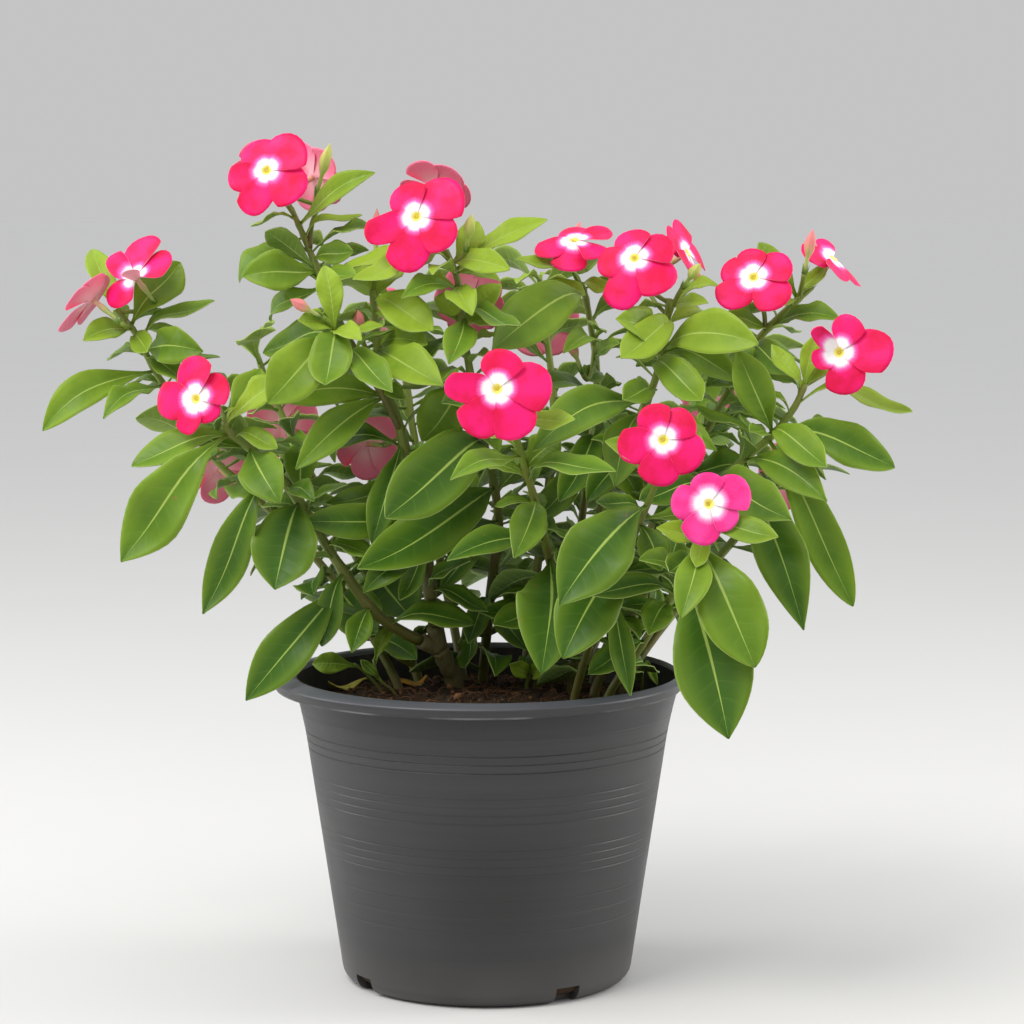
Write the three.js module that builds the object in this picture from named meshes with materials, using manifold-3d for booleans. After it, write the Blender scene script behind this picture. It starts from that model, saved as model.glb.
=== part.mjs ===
// A Madagascar periwinkle in its nursery pot: pot, soil, woody base, leafy stems, blooms and buds.
// Millimetres, +Z up. The origin is the centre of the pot's underside and the front is -Y.
import * as THREE from "three";
import { mergeVertices } from "three/addons/utils/BufferGeometryUtils.js";
import Module from "manifold-3d";

// Pot
const POT_HEIGHT = 155;
const MOUTH_RADIUS = 95;
const WALL_TOP_RADIUS = 94;
const LIP_RADIUS = 102.5;
const LIP_HEIGHT = 15;
const LIP_ROUND = 2.5;
const LIP_SHIFT = 4;
const BASE_RADIUS = 71.8;
const FOOT_ROUND = 8;
const WALL = 2;
const FLOOR = 3;
const POT_SIDES = 40;
const NOTCH_COUNT = 4;
const NOTCH_FIRST = -57;
const NOTCH_WIDTH = 13.5;
const NOTCH_HEIGHT = 8.5;
const NOTCH_DEPTH = 16;

// Soil
const SOIL_TOP = 143;
const SOIL_DIP = 6;
const SOIL_LUMP = 1.6;
const SOIL_RINGS = [18, 40, 62, 82];
const SOIL_SIDES = 20;

// Stems
const STEM_SIDES = 5;
const TRUNK_SIDES = 6;

// Fits
const GAP = 0.35;
const LEAF_MARGIN = 0.5;

// Leaf blade: shares of its length, and half widths there as shares of its width.
// A leaf shorter than LEAF_SMALL has the plainer outline.
const LEAF_LARGE_SHAPE = [[0.13, 0.07], [0.38, 0.36], [0.65, 0.5], [0.88, 0.33]];
const LEAF_SMALL_SHAPE = [[0.15, 0.07], [0.5, 0.48], [0.82, 0.4]];
const LEAF_SMALL = 60;
const LEAF_THICK = 1.3;
const LEAF_FOLD = 0.16;
const LEAF_ARCH = 0.13;
const PETIOLE_HALF = 1.1;
const NEARLY_ALONG = 0.97;

// Flower
const TUBE = 20;
const TUBE_RADIUS = 1.1;
const EYE_RADIUS = 3.2;
const EYE_DIP = 2;
const PETAL_THICK = 1.1;
const PETAL_SHAPE = [[0.38, 0.4], [0.74, 0.51], [0.93, 0.36]];
const PETAL_PLAIN_SHAPE = [[0.45, 0.46], [0.84, 0.5]];
const PLAIN_LENGTH = 20.6;
const PETAL_TWIST = 0.85;
const CLEFT_RADIUS = 2.95;
const COLLAR_RADIUS = 1.65;
const COLLAR_DROP = 5;
const BUD_SHAPE = [[0.45, 1.3], [0.66, 2.3], [0.88, 1.7]];
const BUD_SIDES = 5;
const STALK_RADIUS = 1.2;
const CALYX_RADIUS = 1.5;
const STALK_BEND = 0.4;
const STALK_STEPS = 2;

// Shoots: the node that each belongs to, the radii of its two ends and its centre line.
// A shoot with a seat starts on the woody base, one with no seat and no parent stands in the soil.
const SHOOTS = {
  left: {
    node: "stem_left",
    seat: true,
    radii: [3.6, 2],
    path: [[-24, 4, 166], [-43, -4, 176], [-58, -12, 189], [-76, -20, 216], [-92, -25, 243],
      [-111, -30, 266], [-125, -36, 278], [-127, -40, 284]],
  },
  far_left: {
    node: "stem_left",
    parent: true,
    radii: [2.4, 1.6],
    path: [[-78, -21, 220], [-100, -8, 252], [-128, 3, 266], [-146, 7, 279], [-164, 8, 303],
      [-174, 8, 323], [-184, 8, 336]],
  },
  tall: {
    node: "stem_tall",
    seat: true,
    radii: [4, 2],
    path: [[-24, 4, 166], [-28, 0, 191], [-30, -4, 218], [-34, -8, 241], [-40, -10, 266],
      [-45, -10, 286], [-50, -8, 297], [-54, -6, 321], [-56, -4, 346]],
  },
  top_left: {
    node: "stem_tall",
    parent: true,
    radii: [2.4, 1.6],
    path: [[-49, -8, 292], [-60, -2, 308], [-72, 5, 328], [-86, 12, 360], [-91, 14, 372],
      [-97, 12, 386]],
  },
  top_fork: {
    node: "stem_tall",
    parent: true,
    radii: [1.7, 1.3],
    path: [[-88, 13, 366], [-87, 17, 378], [-83, 21, 388]],
  },
  rosette: {
    node: "stem_tall",
    parent: true,
    radii: [2.2, 1.6],
    path: [[-42, -10, 276], [-54, -20, 300], [-66, -28, 316], [-75, -32, 328]],
  },
  centre: {
    node: "stem_centre",
    radii: [3.2, 1.8],
    path: [[-4, 42, 119], [-2, 40, 146], [2, 30, 190], [6, 18, 226], [3, 8, 251], [-3, -2, 276],
      [-9, -10, 311], [-12, -13, 331], [-14, -14, 351], [-20, -14, 366]],
  },
  front: {
    node: "stem_front",
    radii: [3, 1.7],
    path: [[24, 24, 119], [26, 18, 146], [34, -4, 190], [27, -36, 232], [18, -62, 265],
      [13, -76, 284]],
  },
  middle_right: {
    node: "stem_middle_right",
    radii: [2.8, 1.7],
    path: [[36, 54, 119], [38, 52, 146], [45, 46, 200], [53, 40, 260], [56, 36, 301],
      [51, 34, 336], [48, 34, 348]],
  },
  right_centre: {
    node: "stem_right_centre",
    radii: [3.2, 1.8],
    path: [[42, 14, 119], [43, 12, 146], [56, 2, 231], [66, -4, 256], [76, -8, 283],
      [83, -10, 301], [88, -10, 321], [90, -8, 342]],
  },
  far_right: {
    node: "stem_far_right",
    radii: [3.4, 1.8],
    path: [[54, 42, 119], [56, 42, 146], [75, 38, 190], [95, 32, 241], [107, 26, 266],
      [118, 20, 287], [133, 12, 316], [141, 8, 327], [153, 6, 339], [162, 6, 347]],
  },
  far_right_spur: {
    node: "stem_far_right",
    parent: true,
    radii: [1.5, 1.3],
    path: [[139, 9, 324], [138, 4, 334], [135, -1, 341]],
  },
  right: {
    node: "stem_right",
    radii: [3.2, 1.8],
    path: [[52, -6, 119], [54, -7, 146], [66, -10, 170], [86, -16, 211], [106, -24, 246],
      [126, -29, 264], [140, -32, 277], [150, -34, 290], [155, -36, 302]],
  },
  front_right: {
    node: "stem_front_right",
    radii: [2.8, 1.6],
    path: [[42, -14, 119], [44, -17, 146], [56, -36, 190], [70, -60, 228], [79, -72, 252],
      [83, -78, 262]],
  },
  low_right: {
    node: "stem_low_right",
    radii: [2.8, 1.6],
    path: [[56, -32, 119], [59, -34, 146], [76, -48, 176], [90, -66, 203], [97, -80, 219],
      [103, -89, 234]],
  },
  back_left: {
    node: "stem_back_left",
    radii: [3.2, 1.8],
    path: [[-34, 44, 119], [-36, 47, 146], [-64, 76, 196], [-96, 104, 250], [-116, 120, 290],
      [-122, 124, 306]],
  },
  back_middle: {
    node: "stem_back_middle",
    radii: [3.2, 1.8],
    path: [[-12, 62, 119], [-13, 65, 146], [-26, 98, 206], [-40, 124, 270], [-46, 134, 320],
      [-48, 136, 334]],
  },
  back_tall: {
    node: "stem_back_tall",
    radii: [3, 1.8],
    path: [[18, 64, 119], [20, 67, 146], [28, 92, 206], [36, 112, 270], [30, 120, 330],
      [28, 122, 348]],
  },
  back_right: {
    node: "stem_back_right",
    radii: [3.2, 1.8],
    path: [[48, 56, 119], [50, 58, 146], [78, 88, 200], [108, 116, 256], [122, 130, 298],
      [126, 134, 312]],
  },
  weed_round: {
    node: "weed_left",
    radii: [0.9, 0.8],
    path: [[-52, 12, 130], [-53, 12, 142], [-60, 12, 151], [-67, 12, 157]],
  },
  weed_tall: {
    node: "weed_tall",
    radii: [0.9, 0.8],
    path: [[-45, 8, 130], [-46, 8, 142], [-54, 6, 150], [-57, 6, 160]],
  },
  sprout: {
    node: "sprout",
    radii: [1.2, 1],
    path: [[20, 14, 130], [20, 14, 144], [21, 13, 149], [22, 12, 153]],
  },
  grass: {
    node: "grass",
    radii: [0.9, 0.8],
    path: [[79, 24, 128], [79, 24, 140], [79, 22, 150], [81, 20, 157]],
  },
  side_left: {
    node: "stem_side_left",
    radii: [3, 1.8],
    path: [[-42, 22, 119], [-46, 24, 146], [-74, 42, 190], [-108, 58, 226], [-140, 70, 254],
      [-150, 73, 268]],
  },
  side_right: {
    node: "stem_side_right",
    radii: [3, 1.8],
    path: [[68, 24, 119], [71, 25, 146], [100, 42, 184], [134, 58, 222], [160, 68, 256],
      [166, 70, 270]],
  },
};

// The woody base runs from the soil to its fork and along the first stretch of the two seated shoots
const TRUNK_PATH = [[-14, 20, 119], [-16, 18, 146], [-20, 10, 157], [-24, 4, 166]];
const TRUNK_RADII = [5, 4.6];
const STUB_POINT = 0.45;
const STUB_EXTRA = 0.4;
const SEAT_POINT = 0.48;

// Leaves of the front half: the shoot's path point where each grows, its tip, its width, and
// how far its face turns from the sky (0) to the front (1)
const LEAVES = {
  left: [
    [6, -177, -52, 217, 30, 0.75], [4, -102, -62, 205, 32, 0.85], [5.3, -99, -66, 247, 22, 0.85],
    [4.7, -138, -48, 191, 20, 0.7], [2.6, -118, -40, 147, 24, 0.75], [5.9, -172, -46, 263, 18, 0.5],
    [5.3, -158, -30, 275, 16, 0.45], [6.1, -111, -12, 308, 17, 0.7], [6.9, -95, -44, 304, 16, 0.5],
    [4, -92, -10, 272, 17, 0.7], [2.7, -81, -34, 173, 14, 0.6], [2, -66, -40, 171, 13, 0.6],
  ],
  far_left: [
    [4.1, -218, -20, 278, 19, 0.6], [3.8, -187, -30, 285, 14, 0.45], [5.3, -153, 14, 359, 22, 0.7],
    [4.7, -135, 0, 341, 13, 0.35], [4.6, -139, -22, 317, 19, 0.8], [5.2, -198, -14, 322, 14, 0.6],
    [5.5, -199, 30, 365, 13, 0.5], [3.5, -180, 30, 294, 15, 0.3], [2.9, -134, 30, 303, 16, 0.5],
  ],
  tall: [
    [4.3, -56, -34, 223, 16, 0.8], [2.6, -90, -36, 235, 18, 0.8], [3, -80, -10, 241, 16, 0.5],
    [5.7, -101, -34, 294, 18, 0.75], [5.8, -92, -52, 262, 18, 0.75], [6.9, -29, -30, 321, 18, 0.7],
    [6.8, -21, -58, 303, 22, 0.7], [7.8, -26, -34, 328, 20, 0.7], [7.8, -43, 10, 359, 12, 0.4],
    [7.9, -70, 6, 359, 12, 0.4], [2, -61, -24, 198, 15, 0.6], [2, -43, -20, 194, 11, 0.6],
    [4.1, -93, 10, 268, 19, 0.5], [1.2, -8, -30, 215, 15, 0.5],
  ],
  top_left: [
    [4, -124, 20, 349, 18, 0.35], [2.8, -120, -6, 353, 21, 0.75], [3, -66, 0, 365, 13, 0.6],
    [4.4, -55, -6, 404, 13, 0.6], [3.9, -62, 14, 383, 9, 0.3], [2.6, -109, 30, 329, 16, 0.5],
    [2.3, -94, 40, 358, 15, 0.4], [1.7, -112, 14, 314, 18, 0.6],
  ],
  rosette: [
    [2.9, -79, -26, 359, 13, 0.9], [2.8, -77, -64, 304, 21, 0.8], [2.9, -105, -50, 294, 26, 0.75],
    [2.9, -90, -50, 334, 11, 0.6], [2.9, -60, -60, 325, 11, 0.6], [2.3, -99, -14, 306, 18, 0.6],
    [2.1, -45, -70, 301, 16, 0.6],
  ],
  centre: [
    [7, -18, -50, 313, 16, 0.85], [7, 16, -44, 331, 14, 0.35], [7.8, -41, -40, 344, 12, 0.6],
    [7.9, -7, -46, 336, 15, 0.8], [7.9, -22, -10, 335, 14, 0.8], [8.5, 11, -44, 358, 13, 0.7],
    [8.5, -4, -6, 380, 14, 0.8], [8.7, -65, -30, 353, 15, 0.4], [8.3, 30, -4, 381, 13, 0.5],
    [8.9, -76, 16, 357, 14, 0.3], [5.2, -21, -50, 294, 15, 0.6], [5.7, -32, -40, 279, 25, 0.6],
    [4.8, -48, -74, 241, 32, 0.75], [3.8, -62, -62, 215, 28, 0.75], [4.5, -22, -62, 261, 15, 0.6],
    [3.1, -19, -30, 217, 17, 0.6], [2.7, -23, 0, 196, 13, 0.5], [2.3, 22, 20, 178, 15, 0.5],
    [1.9, -9, -10, 171, 12, 0.6], [1.7, 20, 0, 166, 13, 0.6],
  ],
  front: [
    [3.4, 13, -92, 224, 18, 0.85], [3.7, 60, -110, 267, 15, 0.5], [3.9, 35, -60, 278, 17, 0.6],
    [2.8, -19, -70, 220, 17, 0.5], [2.6, 26, -88, 168, 34, 0.85], [4.2, -17, -100, 262, 14, 0.5],
    [4.7, 41, -96, 290, 12, 0.5],
  ],
  middle_right: [
    [5.2, 30, 20, 349, 11, 0.6], [5.6, 15, 10, 367, 11, 0.4], [5.2, 3, -30, 318, 28, 0.75],
    [5.9, 62, 20, 345, 9, 0.5], [4.5, 38, -8, 316, 14, 0.7], [4.1, 66, 10, 319, 11, 0.6],
    [3.7, 21, -12, 297, 18, 0.5], [3.2, 36, -20, 243, 17, 0.6], [3.1, 77, 10, 240, 17, 0.6],
    [2.8, 22, 10, 230, 17, 0.5], [2.1, 67, 20, 188, 17, 0.5],
  ],
  right_centre: [
    [6.4, 65, -54, 316, 18, 0.8], [5.9, 63, -40, 334, 19, 0.6], [6.7, 108, -24, 341, 11, 0.5],
    [6.9, 115, -6, 348, 12, 0.3], [5.8, 130, -58, 323, 23, 0.7], [5.7, 123, -36, 303, 16, 0.6],
    [5.3, 103, -60, 296, 17, 0.8], [4.4, 22, -74, 273, 23, 0.7], [4.2, 111, -54, 271, 17, 0.7],
    [4.1, 62, -56, 254, 20, 0.7], [3.2, 49, -40, 245, 15, 0.6], [3.6, 100, -20, 258, 17, 0.5],
    [1.9, 74, -50, 237, 14, 0.6],
  ],
  far_right: [
    [5.5, 124, -30, 318, 15, 0.7], [6, 149, -30, 306, 15, 0.7], [7, 174, -12, 332, 14, 0.5],
    [8.2, 136, 14, 369, 14, 0.6], [8.1, 169, 0, 359, 9, 0.5], [6, 108, 30, 299, 17, 0.5],
    [5.4, 154, 40, 313, 15, 0.5], [4.5, 145, 50, 287, 17, 0.5], [4.5, 87, 20, 269, 17, 0.5],
    [7, 116, -4, 332, 12, 0.6], [3.3, 134, 40, 252, 18, 0.5],
  ],
  right: [
    [7.1, 207, -40, 289, 15, 0.25], [6, 198, -46, 262, 22, 0.7], [6, 161, -82, 266, 17, 0.8],
    [6, 121, -46, 319, 19, 0.75], [5, 162, -76, 249, 19, 0.75], [5.8, 177, -60, 196, 20, 0.8],
    [5, 151, -84, 188, 25, 0.8], [7.8, 160, -36, 326, 10, 0.7], [7.7, 174, -28, 319, 12, 0.6],
    [7.8, 139, -34, 321, 10, 0.6], [4.4, 143, -100, 243, 24, 0.75], [4, 74, -60, 248, 15, 0.6],
    [3, 65, -50, 203, 14, 0.6], [6.5, 120, -10, 289, 15, 0.5],
  ],
  front_right: [
    [4.9, 102, -60, 281, 14, 0.6], [3.7, 34, -112, 204, 33, 0.85], [3.3, 83, -80, 216, 16, 0.7],
    [4.8, 56, -90, 279, 14, 0.6], [2.7, 36, -100, 177, 30, 0.8], [2.3, 69, -74, 155, 12, 0.8],
  ],
  low_right: [
    [4.7, 90, -126, 200, 17, 0.85], [4.7, 125, -122, 176, 31, 0.85], [3.5, 113, -120, 142, 37, 0.85],
    [4.8, 80, -100, 239, 11, 0.7], [4.9, 135, -118, 237, 14, 0.6], [4.9, 98, -128, 228, 9, 0.8],
    [3, 50, -92, 206, 14, 0.5], [2.8, 77, -90, 187, 16, 0.7], [3.5, 72, -100, 224, 14, 0.5],
  ],
  weed_round: [[2.8, -88, 12, 157, 11, 0.75]],
  weed_tall: [[2.8, -48, 8, 177, 8, 0.6], [2, -63, 4, 160, 5, 0.7]],
  sprout: [[2.6, 12, 2, 158, 9, 0.8], [2.9, 30, 0, 156, 9, 0.8], [2, 20, 28, 158, 8, 0.4]],
  grass: [[3, 86, 8, 141, 4, 0.5]],
};

// Leaves that the rule adds to the back half: first and last path point, pairs, and their length
const FILLS = {
  back_left: [1.8, 5, 5, 58],
  back_middle: [1.8, 5, 5, 56],
  back_tall: [1.8, 5, 5, 54],
  back_right: [1.8, 5, 5, 58],
  side_left: [1.8, 5, 4, 54],
  side_right: [1.8, 5, 4, 54],
};
const FILL_SEED = 1907;
const FILL_FACING = -0.45;

// Blooms: shoot and path point of the stalk, the eye, the way it faces (degrees right of the front,
// degrees up), and its petals clockwise from the top: direction, length, width and forward lift
const petalRing = (first, length, width, lifts) => (
  lifts.map((lift, i) => [first + (360 / lifts.length) * i, length, width, lift])
);
const ROUND = petalRing(0, 20.5, 20, [4, 0, -6, 0, 6]);
const SMALL = petalRing(20, 18.5, 18, [8, 0, -8, 4, 0]);
const BLOOMS = {
  bloom_top_left: {
    shoot: "top_left",
    at: 4.9,
    eye: [-108, -6, 405],
    facing: [-12, 18],
    petals: [[45, 23, 19, 0], [122, 23, 19, 0], [197, 24, 13, 0],
      [248, 20, 12, 8], [-38, 19, 17, -14]],
  },
  bloom_top_fork: {
    shoot: "top_fork",
    at: 1.9,
    eye: [-87, 38, 401],
    facing: [145, 20],
    petals: SMALL,
  },
  bloom_top: {
    shoot: "centre",
    at: 8.9,
    eye: [-34, -32, 383],
    facing: [-14, 14],
    petals: [[-32, 18, 19, 0], [55, 26, 20, 0], [123, 23, 17, 0],
      [189, 28, 17, 0], [245, 27, 11, 6]],
  },
  bloom_far_left: {
    shoot: "far_left",
    at: 5.9,
    eye: [-173, -8, 353],
    facing: [-35, 42],
    petals: [[-16, 25, 20, 6], [48, 21, 20, 4], [135, 16, 12, 40],
      [205, 19, 15, -6], [-72, 18, 11, 34]],
  },
  bloom_far_left_low: {
    shoot: "far_left",
    at: 5.5,
    eye: [-195, -4, 342],
    facing: [-112, 36],
    petals: [[20, 15, 15, 10], [92, 17, 15, 14], [160, 23, 15, 6],
      [222, 22, 14, 10], [292, 16, 14, 14]],
  },
  bloom_left: {
    shoot: "left",
    at: 6.9,
    eye: [-140, -52, 296],
    facing: [-24, 10],
    petals: [[-8, 21, 16, 4], [60, 18, 17, -8], [128, 14, 12, -8],
      [190, 18, 9, 8], [262, 22, 15, 0]],
  },
  bloom_front: {
    shoot: "front",
    at: 4.9,
    eye: [5, -95, 304],
    facing: [-8, 8],
    petals: [[8, 19, 20, 4], [84, 26, 20, 0], [148, 26, 20, 0],
      [207, 25, 19, 0], [270, 25, 11, 8]],
  },
  bloom_middle_right: {
    shoot: "middle_right",
    at: 5.9,
    eye: [44, 22, 370],
    facing: [-4, 62],
    petals: [[0, 17, 16, -8], [65, 20, 16, 4], [126, 20, 17, -6],
      [185, 21, 19, -22], [248, 21, 12, -10]],
  },
  bloom_right_centre: {
    shoot: "right_centre",
    at: 6.9,
    eye: [72, -30, 363],
    facing: [-12, 34],
    petals: [[-15, 17, 17, 0], [58, 20, 18, -4], [128, 24, 20, -8],
      [196, 27, 15, -16], [258, 19, 14, -6]],
  },
  bloom_right_back: {
    shoot: "right_centre",
    at: 6.6,
    eye: [100, 6, 364],
    facing: [70, 30],
    petals: SMALL,
  },
  bloom_right: {
    shoot: "far_right_spur",
    at: 1.9,
    eye: [131, -16, 353],
    facing: [-14, 30],
    petals: [[-20, 16, 15, 0], [62, 20, 16, 0], [128, 22, 18, 0],
      [222, 22, 14, 4], [285, 17, 14, 0]],
  },
  bloom_far_right_top: {
    shoot: "far_right",
    at: 8.9,
    eye: [173, 12, 361],
    facing: [62, 50],
    petals: [[20, 14, 11, 10], [88, 22, 14, -30], [150, 20, 14, -10],
      [228, 20, 13, 0], [290, 21, 13, -6]],
  },
  bloom_far_right: {
    shoot: "right",
    at: 7.9,
    eye: [170, -48, 318],
    facing: [-20, 8],
    petals: [[15, 19, 15, 4], [85, 27, 17, 0], [160, 21, 17, 0],
      [242, 14, 9, 20], [-46, 20, 9, 48]],
  },
  bloom_front_right: {
    shoot: "front_right",
    at: 4.9,
    eye: [83, -96, 280],
    facing: [-4, 10],
    petals: [[-25, 18, 15, 0], [42, 18, 15, 0], [117, 21, 18, 0],
      [184, 22, 17, 0], [256, 22, 14, 0]],
  },
  bloom_low_right: {
    shoot: "low_right",
    at: 4.9,
    eye: [104, -107, 251],
    facing: [6, 14],
    petals: [[-5, 15, 16, 0], [66, 21, 17, 0], [128, 16, 13, 0],
      [196, 20, 16, 0], [270, 18, 14, 0]],
  },
  bloom_top_left_behind: {
    shoot: "top_left",
    at: 4.7,
    eye: [-112, 22, 404],
    facing: [-150, 30],
    petals: SMALL,
  },
  bloom_top_behind: {
    shoot: "centre",
    at: 8.6,
    eye: [-25, 4, 396],
    facing: [160, 44],
    petals: SMALL,
  },
  bloom_centre_behind: {
    shoot: "centre",
    at: 7.3,
    eye: [-8, 12, 340],
    facing: [168, 6],
    petals: SMALL,
  },
  bloom_left_inner: {
    shoot: "tall",
    at: 4.4,
    eye: [-60, 14, 268],
    facing: [-150, -4],
    petals: SMALL,
  },
  bloom_back_left: {
    shoot: "back_left",
    at: 3.4,
    eye: [-110, 142, 268],
    facing: [-165, 4],
    petals: ROUND,
  },
  bloom_back_middle: {
    shoot: "back_middle",
    at: 3.9,
    eye: [-50, 160, 322],
    facing: [-172, 14],
    petals: SMALL,
  },
  bloom_back_tall: {
    shoot: "back_tall",
    at: 3.8,
    eye: [30, 146, 322],
    facing: [176, 14],
    petals: ROUND,
  },
  bloom_back_right: {
    shoot: "back_right",
    at: 3.6,
    eye: [122, 154, 284],
    facing: [160, 6],
    petals: ROUND,
  },
  bloom_side_left: {
    shoot: "side_left",
    at: 3.8,
    eye: [-141, 97, 247],
    facing: [-147, 11],
    petals: SMALL,
  },
  bloom_side_right: {
    shoot: "side_right",
    at: 3.6,
    eye: [158, 92, 244],
    facing: [140, 8],
    petals: SMALL,
  },
};

// Closed buds: shoot and path point of the stalk, then foot and tip of the bud
const BUDS = {
  bud_top_fork: { shoot: "top_fork", at: 1.6, foot: [-84, 8, 393], tip: [-77, 2, 418], young: true },
  bud_rosette: { shoot: "rosette", at: 2.8, foot: [-80, -44, 335], tip: [-94, -54, 344], young: false },
  bud_centre: { shoot: "centre", at: 8.6, foot: [-10, -26, 366], tip: [-7, -34, 384], young: true },
  bud_top: { shoot: "tall", at: 7.9, foot: [-55, -2, 356], tip: [-54, 0, 386], young: false },
  bud_middle: { shoot: "middle_right", at: 4.4, foot: [48, 8, 304], tip: [40, 4, 324], young: false },
  bud_far_right: { shoot: "far_right", at: 8.3, foot: [157, -4, 354], tip: [161, -6, 376], young: false },
  bud_right: { shoot: "right_centre", at: 6.4, foot: [96, -22, 348], tip: [104, -30, 360], young: true },
  bud_faded: { shoot: "tall", at: 6.7, foot: [-61, -14, 322], tip: [-63, -19, 337], young: false },
  bud_back: { shoot: "back_tall", at: 4.6, foot: [42, 128, 354], tip: [50, 132, 376], young: false },
};

// Small turns that bend a leaf clear of its neighbours, tried in this order, as shifts of its tip
const BENDS = [[0, 0, 0], [0, -6, 0], [0, 6, 0], [0, 0, 6], [0, 0, -6], [0, -12, 3], [0, 12, 3],
  [5, -6, -4], [-5, -6, -4], [6, 6, 6], [-6, 6, 6], [0, -18, -6], [0, 18, -6], [0, 0, 14], [0, 0, -14],
  [10, 0, 4], [-10, 0, 4], [12, -12, -8], [-12, -12, -8], [12, 12, 8], [-12, 12, 8]];
const BASES_APART = 6;
const SOIL_CLEAR = 4;

// Leaves that have dropped on the soil: foot and tip over it, and width
const FALLEN = {
  fallen_olive_leaf: { foot: [-62, 46], tip: [-81, 34], width: 11 },
  fallen_orange_leaf: { foot: [-31, 44], tip: [-46, 32], width: 10 },
};
const FALL_FROM = SOIL_TOP + 10;
const FALL_STEP = 0.2;

const wasm = await Module();
wasm.setup();

const vec = (p) => new THREE.Vector3(...p);

// A closed geometry as a solid, with only its merged positions
function solidOf(geometry) {
  const bare = geometry.clone();
  bare.deleteAttribute("normal");
  bare.deleteAttribute("uv");
  const merged = mergeVertices(bare, 1e-4);
  return new wasm.Manifold(new wasm.Mesh({
    numProp: 3,
    vertProperties: new Float32Array(merged.attributes.position.array),
    triVerts: new Uint32Array(merged.index.array),
  }));
}

// A solid as a geometry again
function geometryOf(solid) {
  const mesh = solid.getMesh();
  const geometry = new THREE.BufferGeometry();
  geometry.setAttribute("position", new THREE.BufferAttribute(mesh.vertProperties, 3));
  geometry.setIndex(new THREE.BufferAttribute(mesh.triVerts, 1));
  geometry.computeVertexNormals();
  return geometry;
}

// A geometry from a list of points and a list of corner triples
function facetGeometry(points, corners) {
  const geometry = new THREE.BufferGeometry();
  const places = points.flatMap((point) => point.toArray());
  geometry.setAttribute("position", new THREE.Float32BufferAttribute(places, 3));
  geometry.setIndex(corners.flat());
  geometry.computeVertexNormals();
  return geometry;
}

// A repeatable draw between 0 and 1
function makeDraw(seed) {
  let state = seed;
  return () => {
    state = (state * 16807) % 2147483647;
    return state / 2147483647;
  };
}

// A smooth curve through a shoot's points
function curveOf(path) {
  return new THREE.CatmullRomCurve3(path.map(vec), false, "catmullrom", 0.5);
}

// A stretch of a curve as a curve of its own
class Stretch extends THREE.Curve {
  constructor(curve, from, to) {
    super();
    this.curve = curve;
    this.from = from;
    this.to = to;
  }

  getPoint(t, target = new THREE.Vector3()) {
    return target.copy(this.curve.getPoint(this.from + (this.to - this.from) * t));
  }
}

// The centre line that a shoot's tube follows, which for a seated one starts above the woody base
function shootCurve(shoot) {
  const whole = curveOf(shoot.path);
  return shoot.seat ? new Stretch(whole, SEAT_POINT / (shoot.path.length - 1), 1) : whole;
}

// The spot in the middle of a shoot's straight-sided tube nearest a path point such as 3.5
function pointAt(shoot, at) {
  const wanted = curveOf(shoot.path).getPoint(at / (shoot.path.length - 1));
  const centres = shootCurve(shoot).getSpacedPoints(shoot.path.length - 1);
  const spots = centres.slice(1).map((end, k) => (
    new THREE.Line3(centres[k], end).closestPointToPoint(wanted, true, new THREE.Vector3())
  ));
  return spots.sort((a, b) => a.distanceTo(wanted) - b.distanceTo(wanted))[0];
}

// A tapering tube along a curve. fatter widens it and pushes both its ends out.
function tubeGeometry(curve, radii, sides, steps, fatter = 0) {
  const turns = Array.from({ length: sides }, (_, i) => (2 * Math.PI * i) / sides);
  const section = new THREE.Shape(turns.map((turn) => new THREE.Vector2(Math.cos(turn), Math.sin(turn))));
  const tube = new THREE.ExtrudeGeometry(section, { extrudePath: curve, steps, curveSegments: 1 });
  const centres = curve.getSpacedPoints(steps);
  const place = tube.attributes.position;
  const corner = new THREE.Vector3();
  for (let i = 0; i < place.count; i += 1) {
    corner.fromBufferAttribute(place, i);
    let nearest = 0;
    for (let k = 1; k <= steps; k += 1) {
      if (corner.distanceTo(centres[k]) < corner.distanceTo(centres[nearest])) nearest = k;
    }
    const radius = radii[0] + ((radii[1] - radii[0]) * nearest) / steps + fatter;
    corner.sub(centres[nearest]).multiplyScalar(radius).add(centres[nearest]);
    if (nearest === 0) corner.addScaledVector(curve.getTangent(0), -fatter);
    if (nearest === steps) corner.addScaledVector(curve.getTangent(1), fatter);
    place.setXYZ(i, corner.x, corner.y, corner.z);
  }
  return tube;
}

// The leaf's own directions: along it, across it, and out of its upper face. A negative facing
// turns the face away from the plant's middle instead of to the front.
function leafAxes(base, tip, facing) {
  const along = tip.clone().sub(base).normalize();
  const outward = new THREE.Vector3(tip.x, tip.y, 0).normalize();
  const side = facing < 0 ? outward : new THREE.Vector3(0, -1, 0);
  const share = Math.abs(facing);
  const wanted = side.clone().multiplyScalar(share).add(new THREE.Vector3(0, 0, 1 - share));
  if (Math.abs(along.dot(wanted.clone().normalize())) > NEARLY_ALONG) wanted.copy(outward);
  const out = wanted.addScaledVector(along, -wanted.dot(along)).normalize();
  const across = out.clone().cross(along).normalize();
  return { along, across, out };
}

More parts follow.
